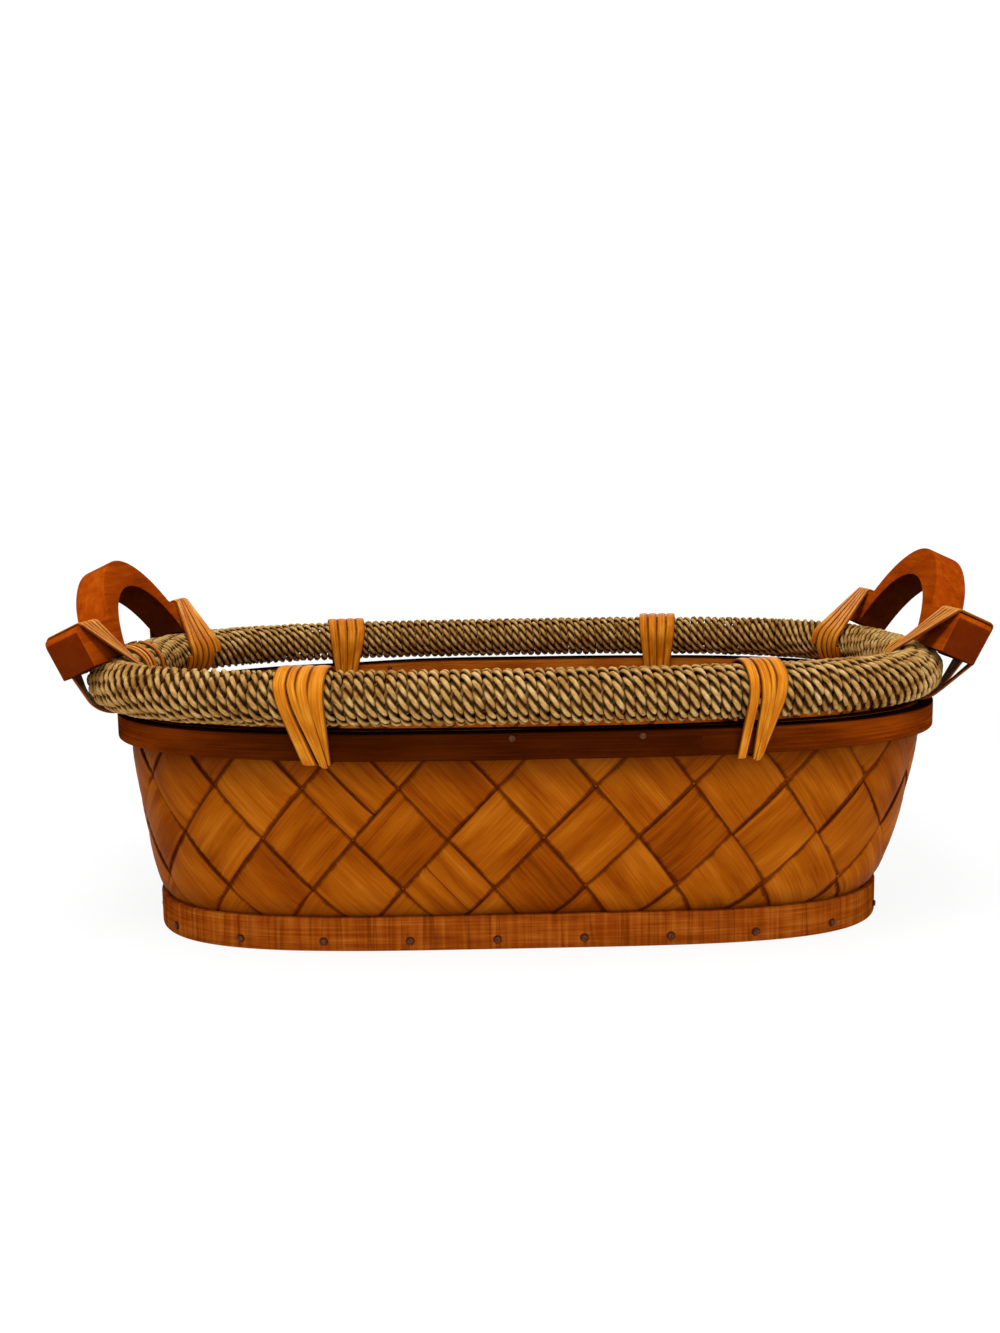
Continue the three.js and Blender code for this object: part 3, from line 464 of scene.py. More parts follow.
class Look(Nodes):
    """A material being put together. Tones are given as they show on screen."""

    def __init__(self, name, **fixed):
        self.material = bpy.data.materials.new(name)
        self.material.use_nodes = True
        super().__init__(self.material.node_tree)
        self.shader = self.tree.nodes["Principled BSDF"]
        for socket, value in fixed.items():
            self.set(socket.replace("_", " "), value)

    def set(self, socket, value):
        self.feed(self.shader.inputs[socket], value)

    def done(self, colour, roughness, relief, strength, distance=0.25):
        """Ends the look in its colour, its roughness and a relief given in millimetres."""
        values = {"Height": relief, "Strength": strength, "Distance": distance * MM}
        self.set("Base Color", colour)
        self.set("Roughness", roughness)
        self.set("Normal", self.node("ShaderNodeBump", values))
        return self.material

    def place(self):
        """Object coordinates in millimetres, as three values."""
        coordinates = self.node("ShaderNodeTexCoord", output=3)
        scaled = self.node("ShaderNodeVectorMath", {0: coordinates, "Scale": 1 / MM}, operation="SCALE")
        return self.split(scaled)

    def run(self):
        """Millimetres along a strip, and its number plus the share across it."""
        u, v, _ = self.split(self.node("ShaderNodeUVMap", uv_map="UVMap"))
        return u * UV_LENGTH, v

    def strip_run(self):
        """Millimetres along a strip, its number and the share across it."""
        along, strip = self.run()
        number = strip.math("FLOOR")
        return along, number, strip - number

    def split(self, vector):
        node = self.tree.nodes.new("ShaderNodeSeparateXYZ")
        self.feed(node.inputs[0], vector)
        return [Wire(self, output) for output in node.outputs]

    def noise(self, place, detail, roughness, scale=1.0):
        vector = self.node("ShaderNodeCombineXYZ", place)
        values = {"Vector": vector, "Scale": scale, "Detail": detail, "Roughness": roughness}
        return self.node("ShaderNodeTexNoise", values)

    def random(self, value):
        return self.node("ShaderNodeTexWhiteNoise", {"W": value}, noise_dimensions="1D")

    def ramp(self, value, places, tones):
        stops = [(place, srgb(*tone)) for place, tone in zip(places, tones)]
        return self.node("ShaderNodeValToRGB", [value], stops=stops)

    def mask(self, value, low, high):
        """0 below low, 1 above high, and the other way round where low is above high."""
        values = {"Value": value, "From Min": low, "From Max": high}
        return self.node("ShaderNodeMapRange", values, interpolation_type="SMOOTHSTEP")

    def tint(self, colour, *layers):
        """A colour brought towards one tone after another, by a share of each tone's mask."""
        for mask, share, tone in layers:
            values = {0: mask * share, 6: colour, 7: srgb(*tone)}
            colour = self.node("ShaderNodeMix", values, output=2, data_type="RGBA")
        return colour

    def attribute(self, name):
        return self.node("ShaderNodeAttribute", output=2, attribute_name=name)


def wood_grain(look, along, across, seed, stretch, fineness):
    """Fine streaks and slow mottling of wood whose grain runs along a value in millimetres."""
    fine = look.noise((along * stretch, across * fineness, seed), 6.0, 0.62)
    slow = look.noise((along * 0.03, across * 0.11, seed + 40.0), 3.0, 0.5)
    return fine, slow


def chip_look():
    look = Look("varnished_chip", Specular_IOR_Level=0.01)
    along, number, share = look.strip_run()
    across = share * STRIP_WIDE
    tone = look.random(number * 1.7 + 3.1)
    fine, slow = wood_grain(look, along, across, number * 5.3, 0.03, 1.3)
    pores = look.noise((along * 0.05, across * 5.0, number), 3.0, 0.7)
    light = fine * 0.45 + slow * 0.6 + tone * 0.13 - 0.09
    tones = (104, 42, 2), (140, 64, 3), (164, 84, 8), (190, 108, 22)
    line_jitter = look.noise((along * 0.09, across * 0.09, number * 2.9), 3.0, 0.6)
    # Painted shade along the long edges of each strip, where it meets its neighbours, in an uneven line
    edge = look.mask(abs(share - 0.5) + (line_jitter - 0.5) * 0.04, 0.462, 0.488)
    # Painted shade in a thin uneven line where a strip passes under its neighbours
    from_crossing = abs(look.attribute("crossing").math("FRACT") - 0.5)
    height = look.place()[2]
    colour = look.tint(
        look.ramp(light, (0.24, 0.42, 0.56, 0.74), tones),
        (look.mask(pores, 0.56, 0.68), 0.4, (96, 40, 4)),
        # Painted shade along the strip edges
        (edge, 0.7, (84, 24, 4)),
        # Painted shade where a strip passes under its neighbours
        (look.mask(from_crossing - (line_jitter - 0.5) * 0.1, 0.062, 0.012), 0.75, (70, 18, 3)),
        # Painted shade under the top band and the rim, over a little darker stain
        (look.mask(height, 68.0, OUTER_BAND["bottom"]), 0.5, (44, 14, 2)),
        # Darker just above the base band
        (look.mask(height, 26.0, FLARE_START), 0.4, (60, 20, 3)),
    )
    return look.done(colour, 0.34 + pores * 0.25, fine * 0.6 + pores * 0.4, 0.35)


def band_look(name, tones, shaded_top=None, saw=0.0, nails=False, flecks_and_shade=False):
    """Bent wood with its grain along the band, with painted shade at its upper edge where the cord lies over
    it.
    """
    look = Look(name, Specular_IOR_Level=0.0)
    along, up = look.run()
    height = up * UV_LENGTH
    fine, slow = wood_grain(look, along, height, 2.0, 0.022, 0.9)
    pores = look.noise((along * 0.04, height * 4.0, 7.0), 3.0, 0.7)
    light = fine * 0.55 + slow * 0.45
    layers = [(look.mask(pores, 0.57, 0.7), 0.4, tones[0])]
    if saw:
        ripple = look.noise((along * 0.33, height * 0.02, 11.0), 2.0, 0.5)
        light = light + (ripple - 0.5) * saw
        marks = look.noise((along * 0.075, height * 0.002, 9.0), 3.0, 0.6)
        layers.append((look.mask(abs(marks - 0.5), 0.016, 0.003), 0.4, (92, 34, 4)))
    if nails:
        pitch = base_path.length / BASE_NAILS
        cell = (along - BASE_NAIL_SHIFT + pitch / 2).math("MODULO", pitch)
        away = (abs(cell) - pitch / 2) ** 2.0 + (height - BASE_NAIL_HEIGHT) ** 2.0
        layers.append((look.mask(away.math("SQRT"), 2.3, 1.5), 0.85, (52, 16, 4)))
    # Light flecks in the wood, and painted shade under the rim
    if flecks_and_shade:
        fleck = look.noise((along * 0.5, height * 0.9, 5.0), 4.0, 0.7)
        x = look.place()[0]
        # Painted shade under the rim: full from x -90 to 60 mm, fading to none beyond 165 mm and to 40 %
        # beyond -150 mm
        dark = look.mask(x, 165.0, 60.0) * (1.0 - look.mask(x, -90.0, -150.0) * 0.6)
        layers += [(look.mask(fleck, 0.6, 0.72), 0.45, (176, 96, 44)), (dark, 0.82, (34, 7, 1))]
    if shaded_top is not None:
        # Painted shade on the upper edge, under the cord
        layers.append((look.mask(height, shaded_top - 1.2, shaded_top - 0.3), 0.95, (12, 4, 2)))
    colour = look.tint(look.ramp(light, (0.28, 0.46, 0.56, 0.74), tones), *layers)
    return look.done(colour, 0.36 + pores * 0.22, fine * 0.5 + pores * 0.5, 0.3)


def plank_look(name, tones, end_tone, axis=1, underside=None):
    """Solid wood with straight grain along axis 0 or 1, which may have painted shade on its downward faces.
    """
    look = Look(name, Specular_IOR_Level=0.0)
    *level, z = look.place()
    along, across = level[axis], level[1 - axis]
    rings = look.noise((along * 0.018, across * 0.30, z * 0.30), 5.0, 0.6)
    fine = look.noise((along * 0.05, across * 1.8, z * 1.8), 4.0, 0.65)
    slow = look.noise((along * 0.03, across * 0.05, z * 0.05), 2.0, 0.5)
    light = rings * 0.5 + fine * 0.28 + slow * 0.3 - 0.04
    normal = look.split(look.node("ShaderNodeNewGeometry", output=1))
    layers = [(look.mask(abs(normal[axis]), 0.86, 0.97), 0.85, end_tone)]
    if underside:
        # Painted shade on faces that turn downwards
        layers.append((look.mask(normal[2], -0.05, -0.55), 0.85, underside))
    colour = look.tint(look.ramp(light, (0.30, 0.48, 0.60, 0.78), tones), *layers)
    return look.done(colour, 0.28 + fine * 0.2, fine * 0.5 + rings * 0.5, 0.2, 0.3)


def cord_look():
    look = Look("twisted_grass_cord", Specular_IOR_Level=0.0)
    along, strand = look.run()
    x, y, z = look.place()
    fibre = look.noise((along * 0.35, strand * 16.0, 3.0), 4.0, 0.65)
    patch = look.noise((x * 0.16, y * 0.16, z * 0.16), 3.0, 0.6)
    broad = look.noise((x * 0.03, y * 0.03, z * 0.03), 2.0, 0.5)
    light = fibre * 0.42 + patch * 0.42 + broad * 0.2
    tones = (100, 56, 14), (158, 112, 54), (198, 156, 92), (232, 200, 142)
    colour = look.ramp(light, (0.34, 0.46, 0.56, 0.70), tones)
    # Painted shade in the creases between the plies and on the side towards the rim's core, read from the
    # shade attribute
    crease = look.mask(look.attribute("shade"), 0.97, 0.66)
    colour = look.tint(colour, (crease, 0.94, (50, 16, 0)))
    return look.done(colour, 0.75, fibre, 0.5, 0.3)


def rattan_look():
    look = Look("split_rattan", Specular_IOR_Level=0.03)
    along, number, share = look.strip_run()
    tone = look.random(number * 2.3 + 0.7)
    fibre = look.noise((along * 0.02, share * 17.0, number * 3.1), 5.0, 0.65)
    slow = look.noise((along * 0.06, share * 2.0, number * 7.7), 2.0, 0.5)
    light = fibre * 0.5 + slow * 0.42 + tone * 0.14
    tones = (140, 62, 4), (190, 104, 12), (222, 146, 38), (246, 194, 104)
    colour = look.ramp(light, (0.34, 0.48, 0.60, 0.74), tones)
    # Painted shade on the strip's sides and underside, which reads as dark lines between strips
    edge = look.mask(abs(share - STRIP_CROWN), 0.15, 0.24)
    colour = look.tint(colour, (edge, 0.8, (84, 28, 2)))
    return look.done(colour, 0.28 + fibre * 0.25, fibre, 0.4)


def nail_look():
    look = Look("wire_nail", Metallic=0.1, Specular_IOR_Level=0.1)
    spots = look.noise(look.place(), 3.0, 0.6, 1.2)
    look.set("Base Color", look.ramp(spots, (0.35, 0.7), ((62, 30, 16), (112, 66, 42))))
    look.set("Roughness", 0.35 + spots * 0.3)
    return look.material


chip_wood = chip_look()
base_band_wood = band_look(
    "base_band_wood", ((112, 44, 6), (146, 66, 12), (166, 84, 20), (190, 110, 40)), saw=0.45, nails=True)
# The top band has flecks and painted shade under the rim
top_band_wood = band_look(
    "top_band_wood", ((74, 26, 2), (116, 46, 4), (142, 60, 6), (168, 80, 14)), OUTER_BAND["top"],
    flecks_and_shade=True)
inner_band_wood = band_look(
    "inner_band_wood", ((110, 46, 6), (146, 70, 12), (168, 90, 20), (190, 116, 42)), INNER_BAND["top"])
# The handles get painted shade on their downward faces
handle_wood = plank_look(
    "handle_wood", ((118, 40, 3), (156, 61, 5), (174, 76, 8), (196, 102, 22)), (84, 26, 5),
    underside=(22, 6, 2))
board_wood = plank_look(
    "board_wood", ((92, 42, 8), (126, 64, 16), (146, 80, 26), (168, 104, 44)), (88, 40, 8), 0)
core_wood = plank_look(
    "core_cane", ((136, 96, 48), (164, 122, 68), (182, 142, 84), (202, 166, 108)), (120, 80, 40))
grass_cord = cord_look()
rattan = rattan_look()
nail_steel = nail_look()


# Woven wall

def wall_oval(height):
    """Oval of the wall at a height, and the offset of its middle."""
    rise = np.clip((height - FLARE_START) / (FLARE_END - FLARE_START), 0, 1) ** FLARE_POWER
    oval = tuple(base + (top - base) * rise for base, top in zip(BASE_OVAL, TOP_OVAL))
    return oval, WALL_MIDDLE_BASE + (WALL_MIDDLE_TOP - WALL_MIDDLE_BASE) * rise


def strip_level(place):
    """Over and under along a strip: flat on each crossing, with a quick step between."""
    wave = np.cos(np.pi * place)
    return wave / np.sqrt(wave ** 2 + STRIP_STEP) * np.sqrt(1 + STRIP_STEP)


def weave_tilt(distance):
    """How far the rows of the weave lie above their even height, at a distance along the rim."""
    place = np.mod(distance + rim_path.length / 2, rim_path.length) - rim_path.length / 2
    return ROW_RISE - ROW_DIP * eased(place, *DIP_STARTS) * (1 - eased(place, *DIP_ENDS))


def strip_spans(split):
    """Number and two sides of each strip; one of the strips may be split along its length."""
    spans = [(k, -0.5, 0.5) for k in range(STRIPS) if k != split]
    return spans if split is None else [*spans, (split, -0.5, SPLIT_AT), (split, SPLIT_AT, 0.5)]


def weave_strips(name, slant, seed, split):
    """All strips of one slant: 1 rises to the right over the front, -1 falls."""
    rows, columns = STRIP_GRID
    pitch = rim_path.length / HALF_COLUMNS
    model = added(bpy.ops.mesh.primitive_grid_add, x_subdivisions=rows, y_subdivisions=columns, size=1)
    flat = points_of(model)
    model_uv = uv_of(model)
    climb = flat[:, 0] + 0.5
    row = np.rint(climb * rows).astype(int)
    first = (WALL_FOOT - WEAVE_FIRST_ROW) / WEAVE_ROW
    last = (WALL_TOP - WEAVE_FIRST_ROW) / WEAVE_ROW
    level_row = first + climb * (last - first)
    crack = CRACK_WIDE * eased(level_row, *CRACK_OPENS) * (1 - eased(level_row, *CRACK_CLOSES))
    rows_of_wall = []
    for height in WEAVE_FIRST_ROW + WEAVE_ROW * (first + (last - first) * np.arange(rows + 1) / rows):
        oval, middle = wall_oval(height)
        free = eased(height, *FREE_ABOVE) * eased(height, *FREE_BELOW)
        rows_of_wall.append((height, OvalPath(oval), middle, free))
    length = (last - first) * np.hypot(WEAVE_ROW, pitch)
    copies = []
    for k, low, high in strip_spans(split):
        rng = np.random.default_rng([seed, k])
        fill = rng.uniform(*STRIP_FILL)
        wobble = STRIP_WOBBLE * waves(level_row * 1.6, seed + k)
        drift = rng.uniform(-STRIP_DRIFT, STRIP_DRIFT)
        left = low + crack * (low > -0.5)
        right = high - crack * (high < 0.5)
        across = (left + (flat[:, 1] + 0.5) * (right - left)) * fill + wobble + drift
        lifted = level_row - weave_tilt(WEAVE_SHIFT + pitch * (2 * k + slant * level_row)) / WEAVE_ROW
        crossing = lifted + slant * across
        level = slant * strip_level(crossing)
        turn = (WEAVE_SHIFT + pitch * (2 * k + slant * lifted + 2 * across)) / rim_path.length
        points = np.zeros_like(flat)
        for r, (height, path, middle, free) in enumerate(rows_of_wall):
            here = row == r
            lift = CHIP_LIFT_HELD + (CHIP_LIFT - CHIP_LIFT_HELD) * free
            crown = CHIP_CROWN * free * (1 - (2 * across[here]) ** 2)
            x, y, _, _ = path.at(turn[here] * path.length, middle + (lift + crown) * level[here])
            points[here] = np.stack([x, y, np.full_like(x, height)], -1)
        copy = duplicate(model)
        move_points(copy, points)
        share = UV_MARGIN / 2 + (1 - UV_MARGIN) * model_uv[:, 1]
        move_uv(copy, np.stack([model_uv[:, 0] * length / UV_LENGTH, k + share], -1))
        # The crossing phase places the painted shade lines where a strip passes under its neighbours
        add_values(copy.data, "crossing", crossing)
        copies.append(copy)
    bpy.data.objects.remove(model)
    piece = join(copies)
    piece.name = name
    solidify(piece, CHIP_THICKNESS)
    bevel(piece, CHIP_ROUNDING, 1, 60)
    apply_all(piece)
    smooth(piece, 40)
    return piece


for name, slant, seed, split in (("chip_strips_rising", 1, 11, None),
                                 ("chip_strips_falling", -1, 23, SPLIT_STRIP)):
    finish_piece(weave_strips(name, slant, seed, split), chip_wood, "chip", "woven_wall")


# Bent-wood bands

def lapped_band(name, path, size, lap_x, side, seed):
    """A strip of wood bent round an oval, its ends thinned and lapped over each other."""
    length = path.length + LAP_LENGTH
    height = size["top"] - size["bottom"]
    thickness = size["face"] - size["back"]
    piece = added(bpy.ops.mesh.primitive_grid_add, x_subdivisions=BAND_STEPS, y_subdivisions=3, size=1)
    piece.name = name
    move_points(piece, (points_of(piece) + (0.5, 0, 0)) * (length, height, 1))
    lap_start = path.distance_at(lap_x, side) - LAP_LENGTH / 2
    start = np.array([lap_start, size["bottom"]]) / UV_LENGTH
    move_uv(piece, uv_of(piece) * np.array([length, height]) / UV_LENGTH + start)
    solidify(piece, thickness)
    bevel(piece, BAND_ROUNDING, 3)
    apply_all(piece)
    run, up, depth = points_of(piece).T
    opening = np.clip(run / LAP_LENGTH, LAP_TIP_SHARE, 1)
    closing = np.clip((length - run) / LAP_LENGTH, LAP_TIP_SHARE, 1)
    depth = (depth + thickness / 2) * opening
    depth = thickness - (thickness - depth) * closing
    uneven = BAND_UNEVEN * waves(run * 0.02, seed)
    x, y, _, _ = path.at(lap_start + run, size["back"] + depth)
    z = size["bottom"] + height / 2 + up
    if size["bottom"] > 0:
        raised = TOP_BAND_RISE["height"] * eased(x, *TOP_BAND_RISE["x"]) * eased(y, *TOP_BAND_RISE["y"])
        z = z + uneven + raised * smooth_step(up / height + 0.5)
    else:
        z = np.where(up > 0, z + uneven, z)
    move_points(piece, np.stack([x, y, z], -1))
    smooth(piece, 40)
    return piece


BANDS = [
    ("base_band", base_band_wood, base_path, BASE_BAND, 40.0, 1, 5),
    ("outer_top_band", top_band_wood, top_path, OUTER_BAND, 60.0, -1, 6),
    ("inner_top_band", inner_band_wood, top_path, INNER_BAND, -52.0, 1, 7),
]
for node, wood, *settings in BANDS:
    finish_piece(lapped_band(f"{node}_bent", *settings), wood, "band", node)


# Nails

def nail_places():
    """Name, path, distance along it, height, offset and way out of each nail's head."""
    pitch = base_path.length / BASE_NAILS
    places = [(f"base_nail_{i + 1}", base_path, BASE_NAIL_SHIFT + pitch * i, BASE_NAIL_HEIGHT, NAIL_PROUD, 1)
              for i in range(BASE_NAILS)]
    height = OUTER_BAND["top"] - TOP_NAIL_DROP
    for name, (x, side) in TOP_NAILS.items():
        offset, way = (OUTER_BAND["face"], 1) if name.startswith("outer") else (INNER_BAND["back"], -1)
        places.append((name, top_path, top_path.distance_at(x, side), height, offset + way * NAIL_PROUD, way))
    return places


def nail_model():
    """One wire nail along Z: a low domed head on its shank, with the head's underside at zero."""
    depth, length = NAIL_HEAD["depth"], NAIL_SHANK["length"]
    head = added(bpy.ops.mesh.primitive_cylinder_add, vertices=20, radius=NAIL_HEAD["radius"], depth=depth,
                 location=(0, 0, depth / 2))
    bevel(head, NAIL_HEAD["rounding"], 3)
    apply_all(head)
    shank = added(bpy.ops.mesh.primitive_cone_add, vertices=10, radius1=NAIL_SHANK["tip"],
                  radius2=NAIL_SHANK["root"], depth=length, location=(0, 0, -length / 2))
    join([head, shank])
    bpy.ops.object.transform_apply()
    smooth(head, 40)
    return head


nail = nail_model()
nail_points = points_of(nail)
for name, path, distance, height, offset, way in nail_places():
    origin, out, along, up = frame_at(distance, path, height, offset)
    copy = duplicate(nail)
    copy.name = name.replace("nail", "wire_nail")
    axes = np.stack([along * way, up, out * way])
    move_points(copy, origin + nail_points @ axes)
    finish_piece(copy, nail_steel, "nail", name)
bpy.data.objects.remove(nail)


# Cord winding of the rim

def cord_winding(name, first_turn, last_turn):
    """Two plies twisted together and wound round the hoop, from one turn to another."""
    steps = int((last_turn - first_turn) * CORD_STEPS)
    turn = np.linspace(first_turn, last_turn, steps + 1)
    spin = TURN * turn
    distance = cord_start - rim_path.length * turn / CORD_TURNS + CORD_UNEVEN["along"] * waves(turn * 1.9, 31)
    hoop = RIM_RADIUS - CORD_RADIUS + CORD_UNEVEN["hoop"] * waves(turn * 2.3, 32) - CORD_SINK
    origin, out, along, up = frame_at(distance)
    ring_out = swung(out, up, spin)
    centre = origin + ring_out * hoop[:, None]
    run = turn * TURN * (RIM_RADIUS - CORD_RADIUS)
    twist = -TURN * run / PLY_LAY + CORD_UNEVEN["twist"] * waves(turn * 0.9, 33)
    corner = TURN * np.arange(PLY_SIDES) / PLY_SIDES
    tubes = Tubes()
    for ply in range(2):
        turned = twist + ply * np.pi
        arm = swung(ring_out, along, turned)
        across = swung(along, -ring_out, turned)
        thick = PLY_RADIUS * (1 + CORD_UNEVEN["ply"] * waves(turn * 3.1 + ply, 34 + ply))
        ply_centre = centre + arm * PLY_OFFSET
        rings = (ply_centre[:, None, :]
                 + arm[:, None, :] * (thick[:, None] * np.cos(corner))[:, :, None]
                 + across[:, None, :] * (PLY_BROAD * thick[:, None] * np.sin(corner))[:, :, None])
        # The shade attribute, for painted shade: low deep between the plies and on the side towards the rim's
        # core
        off_axis = rings - centre[:, None, :]
        shade = np.linalg.norm(off_axis, axis=2) / (PLY_OFFSET + PLY_RADIUS)
        outward = np.einsum("nkc,nc->nk", off_axis, ring_out) / CORD_RADIUS
        tubes.add(rings, run, 2 * ply, shade * 0.6 + 0.4 * smooth_step(0.5 + outward / 2))
    return tubes.piece(name, 80)


cord_start = rim_path.distance_at(TIE_X["back_left"], 1)
for name, first_turn, last_turn in (("cord_winding_back_and_right", 0, CORD_TURNS / 2),
                                    ("cord_winding_front_and_left", CORD_TURNS / 2, CORD_TURNS)):
    finish_piece(cord_winding(name, first_turn, last_turn), grass_cord, "cord", "rim_winding")


# Rattan strips

SECTION = np.array([(-1, -0.5), (-1.02, 0.05), (-0.78, 0.36), (-0.4, 0.5), (0, 0.54), (0.4, 0.5),
                    (0.78, 0.36), (1.02, 0.05), (1, -0.5), (0.4, -0.44), (-0.4, -0.44)])


def strip_rings(left, right, normal):
    """Sections of a strip between its two edge lines, rounded on its outer side."""
    middle = (left + right) / 2
    half = (right - left) / 2
    return (middle[:, None, :] + half[:, None, :] * SECTION[None, :, 0, None]
            + normal[:, None, :] * (SECTION[None, :, 1, None] * STRIP_THICKNESS))


def path_length(points):
    return np.concatenate([[0.0], np.cumsum(np.linalg.norm(np.diff(points, axis=0), axis=1))])


def strip_piece(name, left, right, normals):
    tubes = Tubes()
    tubes.add(strip_rings(left, right, normals), path_length((left + right) / 2))
    return tubes.piece(name)


def touching_points(shapes, direction):
    """How far each wrapped circle or flattened circle reaches in a direction, and its point there."""
    found = []
    for (x, y), across, upright, *_ in shapes:
        a, b = across + STRIP_SEAT, upright + STRIP_SEAT
        size = np.hypot(a * direction[0], b * direction[1])
        point = np.array([x + a * a * direction[0] / size, y + b * b * direction[1] / size])
        found.append((x * direction[0] + y * direction[1] + size, point))
    return found


def tie(name, x, side, strips):
    """Four strips over the rim and down both bands, drawn together at a hole in the weave."""
    origin, out, along, up = frame_at(rim_path.distance_at(x, side))
    drop = OUTER_BAND["bottom"] - RIM_HEIGHT
    band_out = TOP_OVAL[3] * out[0]
    rim_size = RIM_RADIUS + TIE_CLEARANCE
    edges = [band_out + OUTER_BAND["face"], band_out + INNER_BAND["back"]]
    shapes = [((0, 0), rim_size, rim_size)]
    shapes += [((edge, drop), TIE_BAND_CLEARANCE, TIE_BAND_CLEARANCE) for edge in edges]
    angles = np.linspace(-np.pi / 2, 1.5 * np.pi, TIE_STEPS + 1)[::-1][1:-1]
    left, right, normals = [], [], []
    for j, (top, width, bottom, low_width) in enumerate(zip(*strips)):
        for angle in angles:
            direction = np.array([np.cos(angle), np.sin(angle)])
            _, point = max(touching_points(shapes, direction), key=lambda touched: touched[0])
            share = np.clip((point[1] - drop) / (RIM_RADIUS * 0.6 - drop), 0, 1)
            reach = bottom + (top - bottom) * share
            half = (low_width + (width - low_width) * smooth_step(share * 1.4)) / 2
            point = point + direction * TIE_LAYER * (j % 3) * (1 - share) ** 1.5
            base = origin + out * point[0] + up * point[1]
            left.append(base + along * (reach - half))
            right.append(base + along * (reach + half))
            normals.append(out * direction[0] + up * direction[1])
    return strip_piece(name, np.array(left), np.array(right), np.array(normals))


# Each tie's corner and side, its four strips' places and widths over the rim, and the same at the hole
TIES = [
    ("front_left", -1,
     ((-7.7, -3.05, 1.3, 7.1), (5.2, 3.4, 4.7, 6.4), (1.1, 6.8, 7.6, 8.4), (6.0, 3.0, 2.8, 3.2))),
    ("front_right", -1,
     ((-6.1, -1.4, 1.75, 5.7), (4.2, 4.0, 2.3, 5.0), (-8.3, -2.4, -1.7, -0.8), (3.7, 3.0, 2.4, 3.0))),
    ("back_left", 1,
     ((-7.9, -2.65, 2.65, 7.9), (4.9,) * 4, (-2.4, 0.1, 2.7, 5.2), (2.8,) * 4)),
    ("back_right", 1,
     ((-7.9, -2.65, 2.65, 7.9), (4.9,) * 4, (-5.0, -1.7, 1.7, 5.0), (3.3,) * 4)),
]
for corner, side, strips in TIES:
    piece = tie(f"rattan_tie_{corner}", TIE_X[corner], side, strips)
    finish_piece(piece, rattan, "rattan", f"rim_tie_{corner}")


# Handles

def handle_outline(side):
    """Side view of a handle: two feet, an arch between them and a round opening under it."""
    size = HANDLE
    middle = HANDLE_MIDDLE[side]
    behind, ahead = HANDLE_ENDS[side]
    arch_centre = size["height"] - size["arch"]
    fillet_height = size["foot"] + size["fillet"]
    fillet_x = np.sqrt((size["arch"] + size["fillet"]) ** 2 - (fillet_height - arch_centre) ** 2)
    lean = np.arctan2(fillet_height - arch_centre, fillet_x)
    opening_height = size["height"] - size["grip"]
    radius = (size["opening"] ** 2 + opening_height ** 2) / (2 * opening_height)
    opening_lean = np.arctan2(radius - opening_height, size["opening"])

    def arc(x, y, r, start, end, part):
        angles = np.linspace(start, end, ARC_STEPS[part] + 1)
        return np.stack([x + r * np.cos(angles), y + r * np.sin(angles)], -1)

    corner = size["corner"]
    points = np.concatenate([
        arc(middle, opening_height - radius, radius, np.pi - opening_lean, opening_lean, "arch"),
        [(ahead, 0)],
        arc(ahead - corner, size["foot"] - corner, corner, 0, np.pi / 2, "corner"),
        arc(middle + fillet_x, fillet_height, size["fillet"], -np.pi / 2, lean - np.pi, "fillet"),
        arc(middle, arch_centre, size["arch"], lean, np.pi - lean, "arch"),
        arc(middle - fillet_x, fillet_height, size["fillet"], -lean, -np.pi / 2, "fillet"),
        arc(behind + corner, size["foot"] - corner, corner, np.pi / 2, np.pi, "corner"),
        [(behind, 0)],
    ])
    return points, fillet_x


def handle_matrix(side):
    """From the plank's own axes (out, along its length, up) to the basket's, standing upright."""
    place = Matrix.Translation((side * HANDLE["reach"] + HANDLE["shift"], 0, RIM_TOP - HANDLE["sink"]))
    return np.array(place @ Matrix.Rotation(np.radians(HANDLE_TURN[side]), 4, "Z"))


def placed(points, matrix):
    return points @ matrix[:3, :3].T + matrix[:3, 3]


def rim_tube(name, radius):
    """A plain closed ring along the rim, used to cut its seat in the handles' feet."""
    stations, sides = SEAT_GRID
    distance = rim_path.length * np.arange(stations) / stations
    origin, out, _, up = frame_at(distance)
    angles = TURN * np.arange(sides) / sides
    rings = (origin[:, None, :] + out[:, None, :] * (radius * np.cos(angles))[None, :, None]
             + up[None, None, :] * (radius * np.sin(angles))[None, :, None])
    ids = np.arange(stations * sides).reshape(stations, sides)
    turned = np.roll(ids, -1, axis=1)
    quads = np.stack([ids, turned, np.roll(turned, -1, axis=0), np.roll(ids, -1, axis=0)], -1).reshape(-1, 4)
    mesh = bpy.data.meshes.new(name)
    mesh.from_pydata(rings.reshape(-1, 3).tolist(), [], quads.tolist())
    tube = new_object(name, mesh)
    point_outwards(tube)
    return tube


def rounded_arch(length, height, depth, middle):
    """Widens the small rounding of the arch's upper edges, most at its crown and outer face."""
    size = HANDLE
    edge, thickness = size["edge"], size["thickness"]
    centre = size["height"] - size["arch"]
    length = length - middle
    radius = np.hypot(length, height - centre)
    angle = np.arctan2(np.abs(length), height - centre)
    inward = size["arch"] - radius
    amount = eased(angle, *ROUNDING_FADES)
    near_top = (inward < edge * EDGE_SLACK) & (height > size["foot"] + 2)
    for rounding, away, flip in (("round_outside", thickness - depth, True), ("round_inside", depth, False)):
        scale = 1 + (size[rounding] / edge - 1) * amount
        here = near_top & (away < edge * EDGE_SLACK)
        new_radius = size["arch"] - inward * scale
        length = np.where(here, length * new_radius / radius, length)
        height = np.where(here, centre + (height - centre) * new_radius / radius, height)
        moved = away * scale
        depth = np.where(here, thickness - moved if flip else moved, depth)
    return length + middle, height, depth


